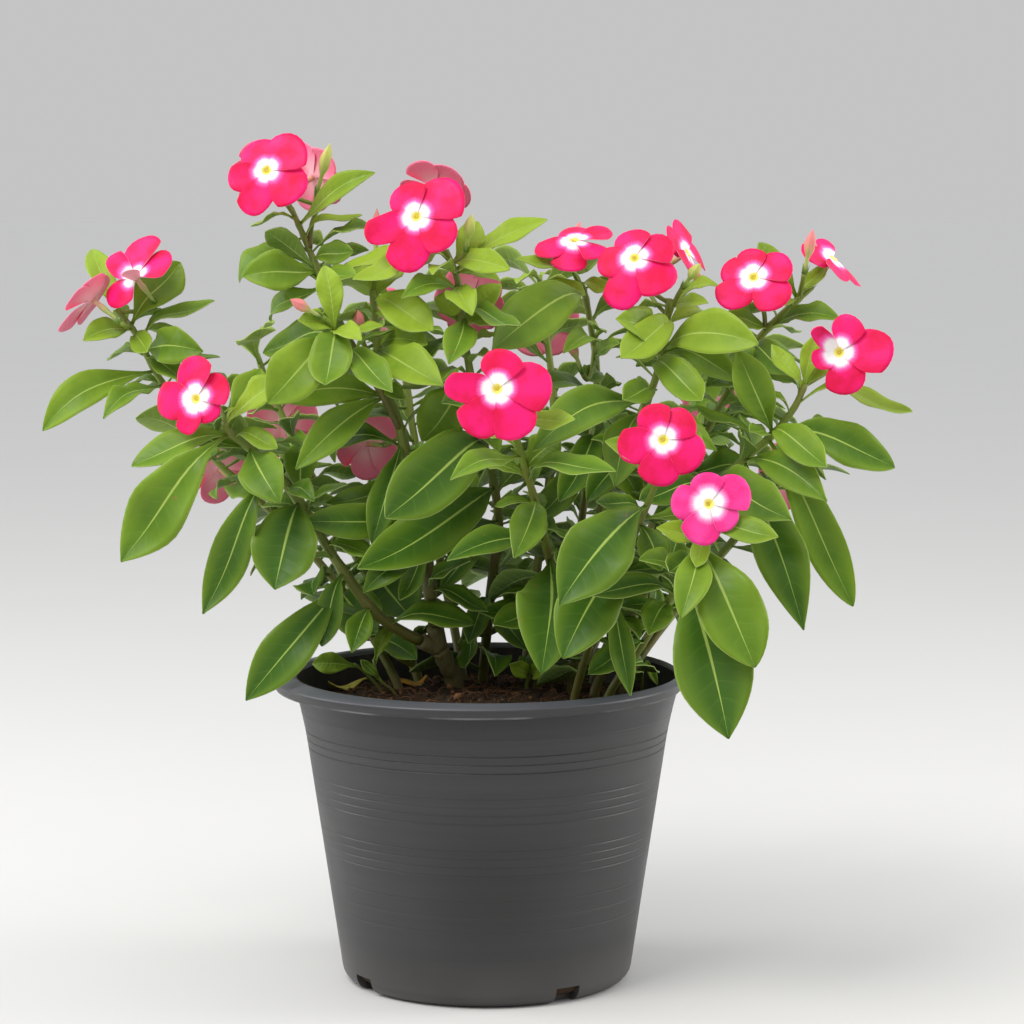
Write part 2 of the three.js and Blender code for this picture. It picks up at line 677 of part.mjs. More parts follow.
// One arched and folded blade with its foot at base. fatter grows it all round.
function leafGeometry(base, tip, width, facing, fatter = 0) {
  const { along, across, out } = leafAxes(base, tip, facing);
  const length = tip.distanceTo(base);
  const points = [base.clone()];
  const corners = [];
  const half = LEAF_THICK / 2 + fatter;
  const shape = length < LEAF_SMALL ? LEAF_SMALL_SHAPE : LEAF_LARGE_SHAPE;
  shape.forEach(([share, halfShare]) => {
    const middle = base.clone().addScaledVector(along, length * share)
      .addScaledVector(out, 4 * LEAF_ARCH * length * share * (1 - share));
    const reach = Math.max(halfShare * width, PETIOLE_HALF) + fatter;
    const lift = LEAF_FOLD * halfShare * width;
    points.push(
      middle.clone().addScaledVector(across, reach).addScaledVector(out, lift),
      middle.clone().addScaledVector(across, -reach).addScaledVector(out, lift),
      middle.clone().addScaledVector(out, half),
      middle.clone().addScaledVector(out, -half),
    );
  });
  points.push(tip.clone().addScaledVector(along, fatter));
  const last = points.length - 1;
  corners.push([0, 3, 1], [0, 2, 3], [0, 1, 4], [0, 4, 2]);
  for (let k = 0; k + 1 < shape.length; k += 1) {
    const [left, right, upper, under] = [1, 2, 3, 4].map((i) => i + 4 * k);
    corners.push(
      [left, upper, left + 4], [upper, upper + 4, left + 4],
      [upper, right, right + 4], [upper, right + 4, upper + 4],
      [left, left + 4, under], [under, left + 4, under + 4],
      [under, right + 4, right], [under, under + 4, right + 4],
    );
  }
  const [left, right, upper, under] = [1, 2, 3, 4].map((i) => i + 4 * (shape.length - 1));
  corners.push([left, upper, last], [upper, right, last], [left, last, under], [under, last, right]);
  return facetGeometry(points, corners);
}

// The way a flower faces, and its right and up as its viewer sees them
function flowerAxes([turn, rise]) {
  const a = THREE.MathUtils.degToRad(turn);
  const e = THREE.MathUtils.degToRad(rise);
  const out = new THREE.Vector3(Math.sin(a) * Math.cos(e), -Math.cos(a) * Math.cos(e), Math.sin(e));
  const right = new THREE.Vector3(0, 0, 1).cross(out).normalize();
  const up = out.clone().cross(right).normalize();
  return { out, right, up };
}

// The point where a flower's tube meets its stalk
function flowerFoot(bloom) {
  return vec(bloom.eye).addScaledVector(flowerAxes(bloom.facing).out, -TUBE);
}

// A flower: five petals round a dipped throat, on a slender five-sided tube
function bloomGeometry(bloom, fatter = 0) {
  const { out, right, up } = flowerAxes(bloom.facing);
  const eye = vec(bloom.eye);
  const local = (a, b, c) => eye.clone().addScaledVector(right, a).addScaledVector(up, b)
    .addScaledVector(out, c);
  const turned = (turn, radius, c) => local(radius * Math.sin(turn), radius * Math.cos(turn), c);
  const turns = bloom.petals.map((petal) => THREE.MathUtils.degToRad(petal[0]));
  const count = turns.length;
  const full = 2 * Math.PI;
  const span = (i) => ((((turns[(i + 1) % count] - turns[i]) % full) + full) % full);
  const cleft = (i) => turns[i] + span(i) / 2;
  const half = PETAL_THICK / 2 + fatter;
  const points = [];
  const corners = [];
  const add = (point) => points.push(point) - 1;

  const notch = turns.map((_, i) => add(turned(cleft(i), CLEFT_RADIUS, -PETAL_THICK / 2)));
  const upper = turns.map((turn) => add(turned(turn, EYE_RADIUS, half)));
  const under = turns.map((turn) => add(turned(turn, EYE_RADIUS, -half - PETAL_THICK / 2)));
  const collar = turns.map((_, i) => add(turned(cleft(i), COLLAR_RADIUS + fatter, -COLLAR_DROP)));
  const end = turns.map((_, i) => add(turned(cleft(i), TUBE_RADIUS + fatter, GAP - TUBE - fatter)));
  const throat = add(local(0, 0, -EYE_DIP));

  turns.forEach((turn, i) => {
    const before = (i + count - 1) % count;
    const [start, finish] = [notch[before], notch[i]];
    corners.push([throat, upper[i], start], [throat, finish, upper[i]]);
    corners.push([start, under[i], collar[before]], [under[i], collar[i], collar[before]]);
    corners.push([under[i], finish, collar[i]]);
    corners.push([collar[before], collar[i], end[before]], [collar[i], end[i], end[before]]);

    const [, length, width, lift] = bloom.petals[i];
    const shape = length < PLAIN_LENGTH ? PETAL_PLAIN_SHAPE : PETAL_SHAPE;
    const rise = THREE.MathUtils.degToRad(lift);
    const spot = (share, side, raised) => {
      const reach = EYE_RADIUS + (length - EYE_RADIUS + fatter) * share * Math.cos(rise);
      return local(
        reach * Math.sin(turn) + side * Math.cos(turn),
        reach * Math.cos(turn) - side * Math.sin(turn),
        (length - EYE_RADIUS) * share * Math.sin(rise) + raised,
      );
    };
    let [leftEdge, rightEdge, top, low] = [start, finish, upper[i], under[i]];
    shape.forEach(([share, halfShare]) => {
      const reach = halfShare * width + fatter;
      const next = [
        add(spot(share, -reach, -PETAL_TWIST)),
        add(spot(share, reach, PETAL_TWIST)),
        add(spot(share, 0, half)),
        add(spot(share, 0, -half)),
      ];
      const [nextLeft, nextRight, nextTop, nextLow] = next;
      corners.push([leftEdge, top, nextLeft], [top, nextTop, nextLeft]);
      corners.push([top, rightEdge, nextRight], [top, nextRight, nextTop]);
      corners.push([leftEdge, nextLeft, low], [low, nextLeft, nextLow]);
      corners.push([low, nextRight, rightEdge], [low, nextLow, nextRight]);
      [leftEdge, rightEdge, top, low] = next;
    });
    const tip = add(spot(1, 0, 0));
    corners.push([leftEdge, top, tip], [top, rightEdge, tip]);
    corners.push([leftEdge, tip, low], [low, tip, rightEdge]);
  });
  corners.push([end[0], end[1], end[2]], [end[0], end[2], end[3]], [end[0], end[3], end[4]]);
  return facetGeometry(points, corners);
}

// A closed bud: a slender five-sided spindle on its tube
function budGeometry(bud, fatter = 0) {
  const foot = vec(bud.foot);
  const tip = vec(bud.tip);
  const length = tip.distanceTo(foot);
  const outline = [
    new THREE.Vector2(0, GAP - fatter),
    new THREE.Vector2(TUBE_RADIUS + fatter, GAP - fatter),
    ...BUD_SHAPE.map(([share, radius]) => new THREE.Vector2(radius + fatter, length * share)),
    new THREE.Vector2(0, length + fatter),
  ];
  const spindle = new THREE.LatheGeometry(outline, BUD_SIDES);
  spindle.rotateX(Math.PI / 2);
  const way = tip.clone().sub(foot).normalize();
  const turn = new THREE.Quaternion().setFromUnitVectors(new THREE.Vector3(0, 0, 1), way);
  spindle.applyQuaternion(turn);
  spindle.translate(foot.x, foot.y, foot.z);
  return spindle;
}

// The green stalk from a shoot to the foot of a flower or bud, ending square to its tube
function stalkGeometry(start, foot, direction, fatter = 0) {
  const reach = start.distanceTo(foot);
  const before = foot.clone().addScaledVector(direction, -Math.max(2, reach * STALK_BEND));
  const curve = new THREE.QuadraticBezierCurve3(start, before, foot);
  return tubeGeometry(curve, [STALK_RADIUS, CALYX_RADIUS], STEM_SIDES, STALK_STEPS, fatter);
}

// The inner radius of the pot at a height
function innerRadius(z) {
  const share = (z - FLOOR) / (POT_HEIGHT - LIP_ROUND - FLOOR);
  return THREE.MathUtils.lerp(BASE_RADIUS - WALL, MOUTH_RADIUS, share);
}

// The outer radius of the pot's wall at a height below the lip
function outerRadius(z) {
  return THREE.MathUtils.lerp(BASE_RADIUS, WALL_TOP_RADIUS, z / (POT_HEIGHT - LIP_HEIGHT));
}

// The pot's closed outline: underside, rounded foot, wall, lip, mouth, inner wall and floor
function potProfile() {
  const lipFoot = POT_HEIGHT - LIP_HEIGHT;
  return [
    [0, 0],
    [BASE_RADIUS - FOOT_ROUND, 0],
    [BASE_RADIUS - FOOT_ROUND / 4, FOOT_ROUND * 0.3],
    [outerRadius(FOOT_ROUND), FOOT_ROUND],
    [outerRadius(lipFoot), lipFoot],
    [LIP_RADIUS - LIP_ROUND, lipFoot + LIP_ROUND],
    [LIP_RADIUS, POT_HEIGHT - 2 * LIP_ROUND],
    [LIP_RADIUS - LIP_ROUND, POT_HEIGHT],
    [MOUTH_RADIUS + LIP_ROUND / 2, POT_HEIGHT],
    [MOUTH_RADIUS, POT_HEIGHT - LIP_ROUND],
    [innerRadius(2 * FLOOR), 2 * FLOOR],
    [innerRadius(FLOOR) - FLOOR, FLOOR],
    [0, FLOOR],
  ].map(([radius, z]) => new THREE.Vector2(radius, z));
}

// The pot: one turned shell, its lip pushed a little to the left, with notches in its foot
function potSolid() {
  const shell = new THREE.LatheGeometry(potProfile(), POT_SIDES);
  shell.rotateX(Math.PI / 2);
  const place = shell.attributes.position;
  const lipStart = MOUTH_RADIUS + 1;
  for (let i = 0; i < place.count; i += 1) {
    const radius = Math.hypot(place.getX(i), place.getY(i));
    const share = THREE.MathUtils.clamp((radius - lipStart) / (LIP_RADIUS - LIP_ROUND - lipStart), 0, 1);
    place.setX(i, place.getX(i) - LIP_SHIFT * share);
  }
  let pot = solidOf(shell);
  for (let i = 0; i < NOTCH_COUNT; i += 1) {
    const block = new THREE.BoxGeometry(NOTCH_DEPTH, NOTCH_WIDTH, 2 * NOTCH_HEIGHT);
    block.translate(BASE_RADIUS, 0, 0);
    block.rotateZ(THREE.MathUtils.degToRad(NOTCH_FIRST + (360 * i) / NOTCH_COUNT));
    pot = pot.subtract(solidOf(block));
  }
  return pot;
}

// Height of the soil's surface: a low mound with small lumps that fade towards the wall
function soilHeight(x, y) {
  const share = Math.min(1, Math.hypot(x, y) / MOUTH_RADIUS);
  const lumps = Math.sin(x * 0.19 + 1) * Math.cos(y * 0.23) + 0.6 * Math.sin(x * 0.41 - y * 0.37 + 2);
  return SOIL_TOP - SOIL_DIP * share * share + SOIL_LUMP * lumps * (1 - share ** 4);
}

// The soil fills the pot a small gap clear of its wall, with a plain hole for each stem
function soilSolid(holes) {
  const edge = innerRadius(SOIL_TOP - SOIL_DIP) - GAP;
  const rings = [edge, ...SOIL_RINGS.toReversed()];
  const outline = [
    [0, FLOOR + GAP],
    [innerRadius(FLOOR) - FLOOR - 1, FLOOR + GAP],
    [innerRadius(2 * FLOOR) - GAP - 0.2, 2 * FLOOR],
    ...rings.map((radius) => [radius, SOIL_TOP]),
    [0, SOIL_TOP],
  ].map(([radius, z]) => new THREE.Vector2(radius, z));
  const body = new THREE.LatheGeometry(outline, SOIL_SIDES);
  body.rotateX(Math.PI / 2);
  const place = body.attributes.position;
  for (let i = 0; i < place.count; i += 1) {
    if (place.getZ(i) > SOIL_TOP - 1) place.setZ(i, soilHeight(place.getX(i), place.getY(i)));
  }
  return holes.reduce((soil, hole) => soil.subtract(hole), solidOf(body));
}

const boxed = (solid) => ({ solid, box: solid.boundingBox() });

// Whether two solids share any space, judged by their boxes first
function meets(a, b) {
  const boxesMeet = [0, 1, 2].every((i) => a.box.min[i] <= b.box.max[i] && b.box.min[i] <= a.box.max[i]);
  return boxesMeet && !a.solid.intersect(b.solid).isEmpty();
}

// The tube of a shoot: plain for its node, fatter for its hole and its clearance
function shootTube(shoot, fatter) {
  const steps = shoot.path.length - 1;
  return solidOf(tubeGeometry(shootCurve(shoot), shoot.radii, STEM_SIDES, steps, fatter));
}

// The woody base: its trunk and the first stretch of each shoot that is seated on it
function trunkSolid(fatter) {
  const steps = TRUNK_PATH.length - 1;
  const trunk = solidOf(tubeGeometry(curveOf(TRUNK_PATH), TRUNK_RADII, TRUNK_SIDES, steps, fatter));
  const seated = Object.values(SHOOTS).filter((shoot) => shoot.seat);
  return seated.reduce((body, shoot) => {
    const stretch = new Stretch(curveOf(shoot.path), 0, STUB_POINT / (shoot.path.length - 1));
    const radii = [TRUNK_RADII[1], shoot.radii[0] + STUB_EXTRA];
    return body.add(solidOf(tubeGeometry(stretch, radii, TRUNK_SIDES, 1, fatter)));
  }, trunk);
}

// Rows for the leaves that the rule adds: opposite pairs, each pair a quarter turn on from the last
function fillRows(name, draw) {
  const shoot = SHOOTS[name];
  const [first, last, pairs, length] = FILLS[name];
  const rows = [];
  let turn = draw() * 180;
  for (let k = 0; k < pairs; k += 1) {
    const share = k / pairs;
    const at = first + (last - first) * (share + 0.04);
    const base = curveOf(shoot.path).getPoint(at / (shoot.path.length - 1));
    for (const side of [0, 180]) {
      const way = turn + side + 24 * (draw() - 0.5);
      const reach = length * (0.8 + 0.4 * draw()) * (1 - 0.35 * share);
      const rise = -22 + 52 * share + 24 * (draw() - 0.5);
      const width = Math.round(reach * (0.42 + 0.08 * draw()));
      const tip = base.clone().addScaledVector(flowerAxes([way, rise]).out, reach).round();
      rows.push([at, ...tip.toArray(), width, FILL_FACING]);
    }
    turn += 90;
  }
  return rows;
}

// The leaves of all shoots, each bent clear of everything placed before it or else left out
function placeLeaves(fixed) {
  const placed = [];
  const draw = makeDraw(FILL_SEED);
  const tries = Object.entries(LEAVES).flatMap(([name, rows]) => rows.map((row) => [name, row]));
  Object.keys(FILLS).forEach((name) => fillRows(name, draw).forEach((row) => tries.push([name, row])));
  for (const [name, [at, x, y, z, width, facing]] of tries) {
    const { node } = SHOOTS[name];
    const base = pointAt(SHOOTS[name], at);
    const near = [...fixed, ...placed].filter((other) => (
      other.node !== node || (other.base && other.base.distanceTo(base) > BASES_APART)
    ));
    for (const [right, back, rise] of BENDS) {
      const tip = new THREE.Vector3(x + right, y + back, z + rise);
      const inPot = Math.hypot(tip.x, tip.y) < LIP_RADIUS + BASES_APART && tip.z < SOIL_TOP + SOIL_CLEAR;
      const fat = boxed(solidOf(leafGeometry(base, tip, width, facing, LEAF_MARGIN)));
      if (!inPot && !near.some((other) => meets(fat, other))) {
        placed.push({ ...boxed(solidOf(leafGeometry(base, tip, width, facing))), node, base });
        break;
      }
    }
  }
  return placed;
}

// A dropped leaf, upside down, let down until it lies a small gap over whatever is under it
function fallenLeaf({ foot, tip, width }, fixed) {
  const blade = (z, fatter) => {
    const [start, end] = [foot, tip].map(([x, y]) => new THREE.Vector3(x, y, z));
    const flip = new THREE.Quaternion().setFromAxisAngle(end.clone().sub(start).normalize(), Math.PI);
    const geometry = leafGeometry(start, end, width, 0, fatter);
    geometry.translate(...start.clone().negate()).applyQuaternion(flip).translate(...start);
    return solidOf(geometry);
  };
  let z = FALL_FROM;
  while (!fixed.some((other) => meets(boxed(blade(z - FALL_STEP, GAP)), other))) z -= FALL_STEP;
  return blade(z, 0);
}

// Materials
const MATERIALS = {
  plastic: { color: 0x3a3b3e, roughness: 0.55, metalness: 0 },
  soil: { color: 0x3b2a1e, roughness: 0.95, metalness: 0 },
  bark: { color: 0x6d6a35, roughness: 0.7, metalness: 0 },
  leaf: { color: 0x4a8a2a, roughness: 0.4, metalness: 0 },
  petal: { color: 0xf01f6b, roughness: 0.5, metalness: 0 },
  young: { color: 0xb4bf4a, roughness: 0.5, metalness: 0 },
  fallen: { color: 0xa5822e, roughness: 0.6, metalness: 0 },
};

const plant = new THREE.Group();

function addNode(name, solid, material) {
  const mesh = new THREE.Mesh(geometryOf(solid), new THREE.MeshStandardMaterial(MATERIALS[material]));
  mesh.name = name;
  plant.add(mesh);
}

// Green parts gathered by node, and what every leaf keeps clear of
const stems = {};
const clearances = [];
function keepClear(solid, node) {
  clearances.push({ ...boxed(solid), node });
}
function grow(node, solid, fat) {
  stems[node] = stems[node] ? stems[node].add(solid) : solid;
  keepClear(fat, node);
}

// A stalk from a shoot's path point to the foot of a flower or bud
function growStalk({ shoot, at }, foot, direction) {
  const { node } = SHOOTS[shoot];
  const start = pointAt(SHOOTS[shoot], at);
  const [solid, fat] = [0, GAP].map((fatter) => solidOf(stalkGeometry(start, foot, direction, fatter)));
  grow(node, solid, fat);
}

function plantPot() {
  const standing = Object.values(SHOOTS).filter((shoot) => !shoot.seat && !shoot.parent);
  const pot = potSolid();
  const soil = soilSolid([trunkSolid(GAP), ...standing.map((shoot) => shootTube(shoot, GAP))]);
  addNode("pot", pot, "plastic");
  addNode("soil", soil, "soil");
  addNode("woody_base", trunkSolid(0), "bark");
  keepClear(pot, "pot");
  keepClear(soil, "soil");
  keepClear(trunkSolid(GAP), "woody_base");
}

function plantStems() {
  Object.values(SHOOTS).forEach((shoot) => grow(shoot.node, shootTube(shoot, 0), shootTube(shoot, GAP)));
}

function plantBlooms() {
  Object.entries(BLOOMS).forEach(([name, bloom]) => {
    growStalk(bloom, flowerFoot(bloom), flowerAxes(bloom.facing).out);
    addNode(name, solidOf(bloomGeometry(bloom)), "petal");
    keepClear(solidOf(bloomGeometry(bloom, GAP)), name);
  });
  Object.entries(BUDS).forEach(([name, bud]) => {
    const foot = vec(bud.foot);
    growStalk(bud, foot, vec(bud.tip).sub(foot).normalize());
    addNode(name, solidOf(budGeometry(bud)), bud.young ? "young" : "petal");
    keepClear(solidOf(budGeometry(bud, GAP)), name);
  });
}

function plantLeaves() {
  const leaves = placeLeaves(clearances);
  leaves.forEach((leaf) => {
    stems[leaf.node] = stems[leaf.node].add(leaf.solid);
  });
  Object.entries(stems).forEach(([name, solid]) => addNode(name, solid, "leaf"));
  Object.entries(FALLEN).forEach(([name, leaf]) => {
    addNode(name, fallenLeaf(leaf, [...clearances, ...leaves]), "fallen");
  });
}

plantPot();
plantStems();
plantBlooms();
plantLeaves();

export default plant;
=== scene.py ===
# %% [markdown]
# # A Madagascar periwinkle in its nursery pot
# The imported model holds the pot, the soil, the woody base, the leafy stems, the flowers and the
# buds as plain faceted solids. This lesson dresses each one: a finer mesh takes its place, with
# the veins, folds and colours that the real plant shows, in the same spot and at the same size.

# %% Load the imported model
import math
import random

import bmesh
import bpy
from mathutils import Matrix, Quaternion, Vector, bvhtree, kdtree, noise


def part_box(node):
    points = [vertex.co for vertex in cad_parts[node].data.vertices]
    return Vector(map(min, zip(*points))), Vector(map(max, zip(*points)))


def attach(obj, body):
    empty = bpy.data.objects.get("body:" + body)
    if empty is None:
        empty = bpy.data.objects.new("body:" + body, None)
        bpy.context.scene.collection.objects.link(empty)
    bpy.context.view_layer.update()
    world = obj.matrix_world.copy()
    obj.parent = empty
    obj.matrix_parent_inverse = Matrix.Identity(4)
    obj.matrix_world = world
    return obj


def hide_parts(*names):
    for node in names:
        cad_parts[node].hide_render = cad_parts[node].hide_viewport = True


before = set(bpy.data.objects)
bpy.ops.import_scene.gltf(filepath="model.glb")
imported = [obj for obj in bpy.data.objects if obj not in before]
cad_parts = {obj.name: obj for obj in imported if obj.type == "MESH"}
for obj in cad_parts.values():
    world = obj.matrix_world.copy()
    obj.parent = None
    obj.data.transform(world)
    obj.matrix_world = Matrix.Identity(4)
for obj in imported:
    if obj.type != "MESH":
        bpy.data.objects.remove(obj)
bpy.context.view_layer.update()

# %% [markdown]
# ## Camera
# The photograph was taken from a little above the pot's rim with a long lens, which keeps the
# pot's sides nearly straight. A camera can be placed by eye, or worked out from a round thing
# of known size. Here the pot's mouth, lip and base gave the distance, the height and the lens.

# %% Camera
MM = 0.001
EYE_DISTANCE = 1.7027
EYE_HEIGHT = 0.4258
LOOK_DOWN = 6.386
LOOK_RIGHT = 0.426
LENS = 120.8

camera_data = bpy.data.cameras.new("Camera")
camera_data.sensor_width = 36
camera_data.lens = LENS
camera_data.clip_start = 0.05
camera_data.clip_end = 100
camera = bpy.data.objects.new("Camera", camera_data)
camera.location = (0, -EYE_DISTANCE, EYE_HEIGHT)
camera.rotation_euler = (math.radians(90 - LOOK_DOWN), 0, math.radians(-LOOK_RIGHT))
bpy.context.scene.collection.objects.link(camera)
bpy.context.scene.camera = camera
print("camera", round(EYE_DISTANCE, 3), "m away with a", LENS, "mm lens")

# %% [markdown]
# ## Wiring a finish
# A finish is a small graph of nodes: a coordinate, a few patterns made from it, and the shader
# that they feed. It can be wired by hand in the editor, or by a few helpers such as these, each
# of which adds one kind of node to the finish that lies on the bench, and gives back the socket
# that the next one needs. A colour is built up in coats, each laid on by its own share.

# %% Helpers for finishes
bench = {}


def new_finish(name, **values):
    material = bpy.data.materials.new(name)
    material.use_nodes = True
    bench["tree"] = material.node_tree
    bench["shader"] = material.node_tree.nodes["Principled BSDF"]
    for socket, value in values.items():
        bench["shader"].inputs[socket.replace("_", " ")].default_value = value
    return material


def wire(kind, inputs, **settings):
    node = bench["tree"].nodes.new("ShaderNode" + kind)
    for key, value in settings.items():
        setattr(node, key, value)
    for key, value in inputs.items():
        if isinstance(value, bpy.types.NodeSocket):
            bench["tree"].links.new(value, node.inputs[key])
        else:
            node.inputs[key].default_value = value
    return node


def feed(socket, value):
    bench["tree"].links.new(value, bench["shader"].inputs[socket])


def calc(operation, *values):
    return wire("Math", dict(enumerate(values)), operation=operation).outputs[0]


def plus(first, second):
    return calc("ADD", first, second)


def times(first, second):
    return calc("MULTIPLY", first, second)


def blend(share, first, second, mode="MIX"):
    pair = [(*colour, 1) if isinstance(colour, tuple) else colour for colour in (first, second)]
    inputs = {0: share, 6: pair[0], 7: pair[1]}
    return wire("Mix", inputs, data_type="RGBA", blend_type=mode).outputs[2]


def ease(value, start, end, low=0.0, high=1.0):
    inputs = {0: value, 1: start, 2: end, 3: low, 4: high}
    return wire("MapRange", inputs, interpolation_type="SMOOTHSTEP").outputs[0]


def speckle(place, scale, detail=3.0, roughness=0.5):
    inputs = {"Vector": place, "Scale": scale, "Detail": detail, "Roughness": roughness}
    return wire("TexNoise", inputs).outputs["Fac"]


def layered(colour, *coats):
    for share, coat in coats:
        colour = blend(share, colour, coat)
    return colour


def paint(colour, height, strength, depth):
    feed("Base Color", colour)
    inputs = {"Height": height, "Strength": strength, "Distance": depth}
    feed("Normal", wire("Bump", inputs).outputs[0])


def stretched(place, scale):
    return wire("Mapping", {"Vector": place, "Scale": scale}).outputs[0]


def object_place():
    return wire("TexCoord", {}).outputs["Object"]


def height_of(place):
    return wire("SeparateXYZ", {0: place}).outputs[2]


def from_middle(across):
    return calc("ABSOLUTE", calc("MULTIPLY_ADD", across, 2.0, -1.0))


def surface_place():
    coordinate = wire("TexCoord", {}).outputs["UV"]
    parts = wire("SeparateXYZ", {0: coordinate})
    return coordinate, parts.outputs[0], parts.outputs[1]


def mark(name):
    return wire("Attribute", {}, attribute_name=name).outputs["Fac"]


# %% [markdown]
# ## Floor and light
# The plant stands on a plain pale floor. Two tall soft lights at the sides draw the light edges
# down the dark pot, and a wide one over the camera's left shoulder lights leaves and flowers
# from above. The pale surroundings fill the shadows, as a bright kitchen does.

# %% Floor and light
FLOOR_RADIUS = 14.0

bpy.context.scene.view_settings.view_transform = "Standard"
floor_finish = new_finish("pale_floor", Roughness=0.75)
grain = speckle(object_place(), 6.0)
feed("Base Color", blend(grain, (0.60, 0.595, 0.585), (0.62, 0.615, 0.605)))

floor_mesh = bmesh.new()
bmesh.ops.create_circle(floor_mesh, cap_ends=True, segments=64, radius=FLOOR_RADIUS)
bmesh.ops.recalc_face_normals(floor_mesh, faces=floor_mesh.faces)
floor_data = bpy.data.meshes.new("floor")
floor_mesh.to_mesh(floor_data)
floor_mesh.free()
floor_data.materials.append(floor_finish)
floor = bpy.data.objects.new("floor", floor_data)
bpy.context.scene.collection.objects.link(floor)

world = bpy.data.worlds.new("studio")
world.use_nodes = True
bench["tree"] = world.node_tree
bench["shader"] = world.node_tree.nodes["Background"]
rise = ease(height_of(wire("TexCoord", {}).outputs["Generated"]), 0.04, 0.7)
sky = blend(rise, (0.553, 0.553, 0.553), (0.92, 0.93, 0.95))
feed("Color", sky)
bpy.context.scene.world = world


def soft_light(name, place, target, size, watts, colour):
    data = bpy.data.lights.new(name, "AREA")
    data.shape = "RECTANGLE"
    data.size, data.size_y = size
    data.energy = watts
    data.color = colour
    light = bpy.data.objects.new(name, data)
    light.location = place
    aim = Vector(target) - Vector(place)
    light.rotation_euler = aim.to_track_quat("-Z", "Y").to_euler()
    bpy.context.scene.collection.objects.link(light)


soft_light("over_left", (-1.0, -1.1, 2.1), (0, 0, 0.25), (1.2, 1.0), 36, (1, 0.98, 0.94))
soft_light("left_side", (-1.5, 0.2, 0.6), (0, 0, 0.15), (0.7, 1.4), 13, (0.95, 0.98, 1))
soft_light("right_side", (1.5, 0.1, 0.6), (0, 0, 0.15), (0.7, 1.4), 15, (1, 0.99, 0.97))

# %% [markdown]
# ## Shaping helpers
# Stems, stalks, flower tubes and buds are all round sections drawn along a line. A curve with a
# bevel would do it, but a ring that is extruded and moved step by step keeps one closed mesh,
# lets the width change anywhere, and can mark each ring with an age that drives the colours.

# %% Lines and tubes
def line_point(path, at):
    step = min(int(at), len(path) - 2)
    start, end = Vector(path[step]), Vector(path[step + 1])
    before = Vector(path[step - 1]) if step > 0 else 2 * start - end
    after = Vector(path[step + 2]) if step + 2 < len(path) else 2 * end - start
    share = at - step
    leave, arrive = (end - before) / 2, (after - start) / 2
    square = 3 * (end - start) - 2 * leave - arrive
    cube = 2 * (start - end) + leave + arrive
    return start + leave * share + square * share ** 2 + cube * share ** 3


def sweep(mesh, centres, radii, sides, ages):
    age = mesh.verts.layers.float["age"]
    last = len(centres) - 1
    heading = Vector((0, 0, 1))
    turn = Quaternion()
    rings = []
    faces_before = set(mesh.faces)
    for k, (centre, radius) in enumerate(zip(centres, radii)):
        way = (centres[min(k + 1, last)] - centres[max(k - 1, 0)]).normalized()
        turn = heading.rotation_difference(way) @ turn
        heading = way
        place = Matrix.Translation(centre) @ turn.to_matrix().to_4x4() @ Matrix.Scale(radius, 4)
        if k == 0:
            ring = bmesh.ops.create_circle(mesh, segments=sides, radius=1, matrix=place)["verts"]
            edges = list({edge for vert in ring for edge in vert.link_edges})
            bmesh.ops.holes_fill(mesh, edges=edges, sides=0)
        else:
            grown = bmesh.ops.extrude_edge_only(mesh, edges=edges)["geom"]
            ring = [item for item in grown if isinstance(item, bmesh.types.BMVert)]
            edges = [item for item in grown if isinstance(item, bmesh.types.BMEdge)]
            bmesh.ops.transform(mesh, matrix=place @ place_before.inverted(), verts=ring)
        for vert in ring:
            vert[age] = ages[k]
        place_before = place
        rings.append(ring)
    bmesh.ops.holes_fill(mesh, edges=edges, sides=0)
    faces = [face for face in mesh.faces if face not in faces_before]
    bmesh.ops.recalc_face_normals(mesh, faces=faces)
    return rings, faces


def finish_piece(mesh, node, materials, name=None):
    data = bpy.data.meshes.new(name or node + "_fine")
    for face in mesh.faces:
        face.smooth = True
    mesh.to_mesh(data)
    mesh.free()
    for material in materials:
        data.materials.append(material)
    piece = bpy.data.objects.new(data.name, data)
    bpy.context.scene.collection.objects.link(piece)
    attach(piece, "root")
    if name is None:
        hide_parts(node)
    return piece


# %% [markdown]
# ## The pot
# The real pot is blown or moulded in thin black plastic: a tapered wall with fine rings left by
# the tool, a wide sloping lip and four notches under its foot that let water out. A turned shape
# suits it, because one outline with the rings drawn in it gives wall, lip and floor at once.
# The notches are cut afterwards with plain blocks.

# %% Pot outline
POT_HEIGHT = 155
MOUTH_RADIUS = 95
LIP_RADIUS = 102.5
LIP_SKIRT = 4.5
LIP_DROP = 3
LIP_ROUND = 2.5
LIP_SHIFT = 4
BASE_RADIUS = 71.8
FOOT_ROUND = 8
WALL = 2
FLOOR = 3
RING_GROUPS = [(127.8, 3, 4.2, 0.35), (106.6, 4, 4.2, 0.2), (80.6, 4, 4.2, 0.2), (55, 3, 8, 0.1)]
RING_SECTION = ((-0.8, 0), (-0.45, 0), (-0.12, 1), (0.12, 1), (0.45, 0), (0.8, 0))
BEAD_HEIGHT = 136
BEAD = 0.12
TAPER = 0.15
FLARE = 1.6
FLARE_FROM = 120
FLARE_OVER = 25
NECK = 140
INNER_HEIGHTS = (146, 140, 132, 120, 90, 60, 30)


def wall_radius(z):
    return BASE_RADIUS + TAPER * z + FLARE * (max(0, z - FLARE_FROM) / FLARE_OVER) ** 2


def inner_radius(z):
    return wall_radius(z) - WALL


def arc(centre, radius, start, end, steps):
    points = []
    for k in range(steps + 1):
        angle = math.radians(start + (end - start) * k / steps)
        points.append((centre[0] + radius * math.cos(angle), centre[1] + radius * math.sin(angle)))
    return points


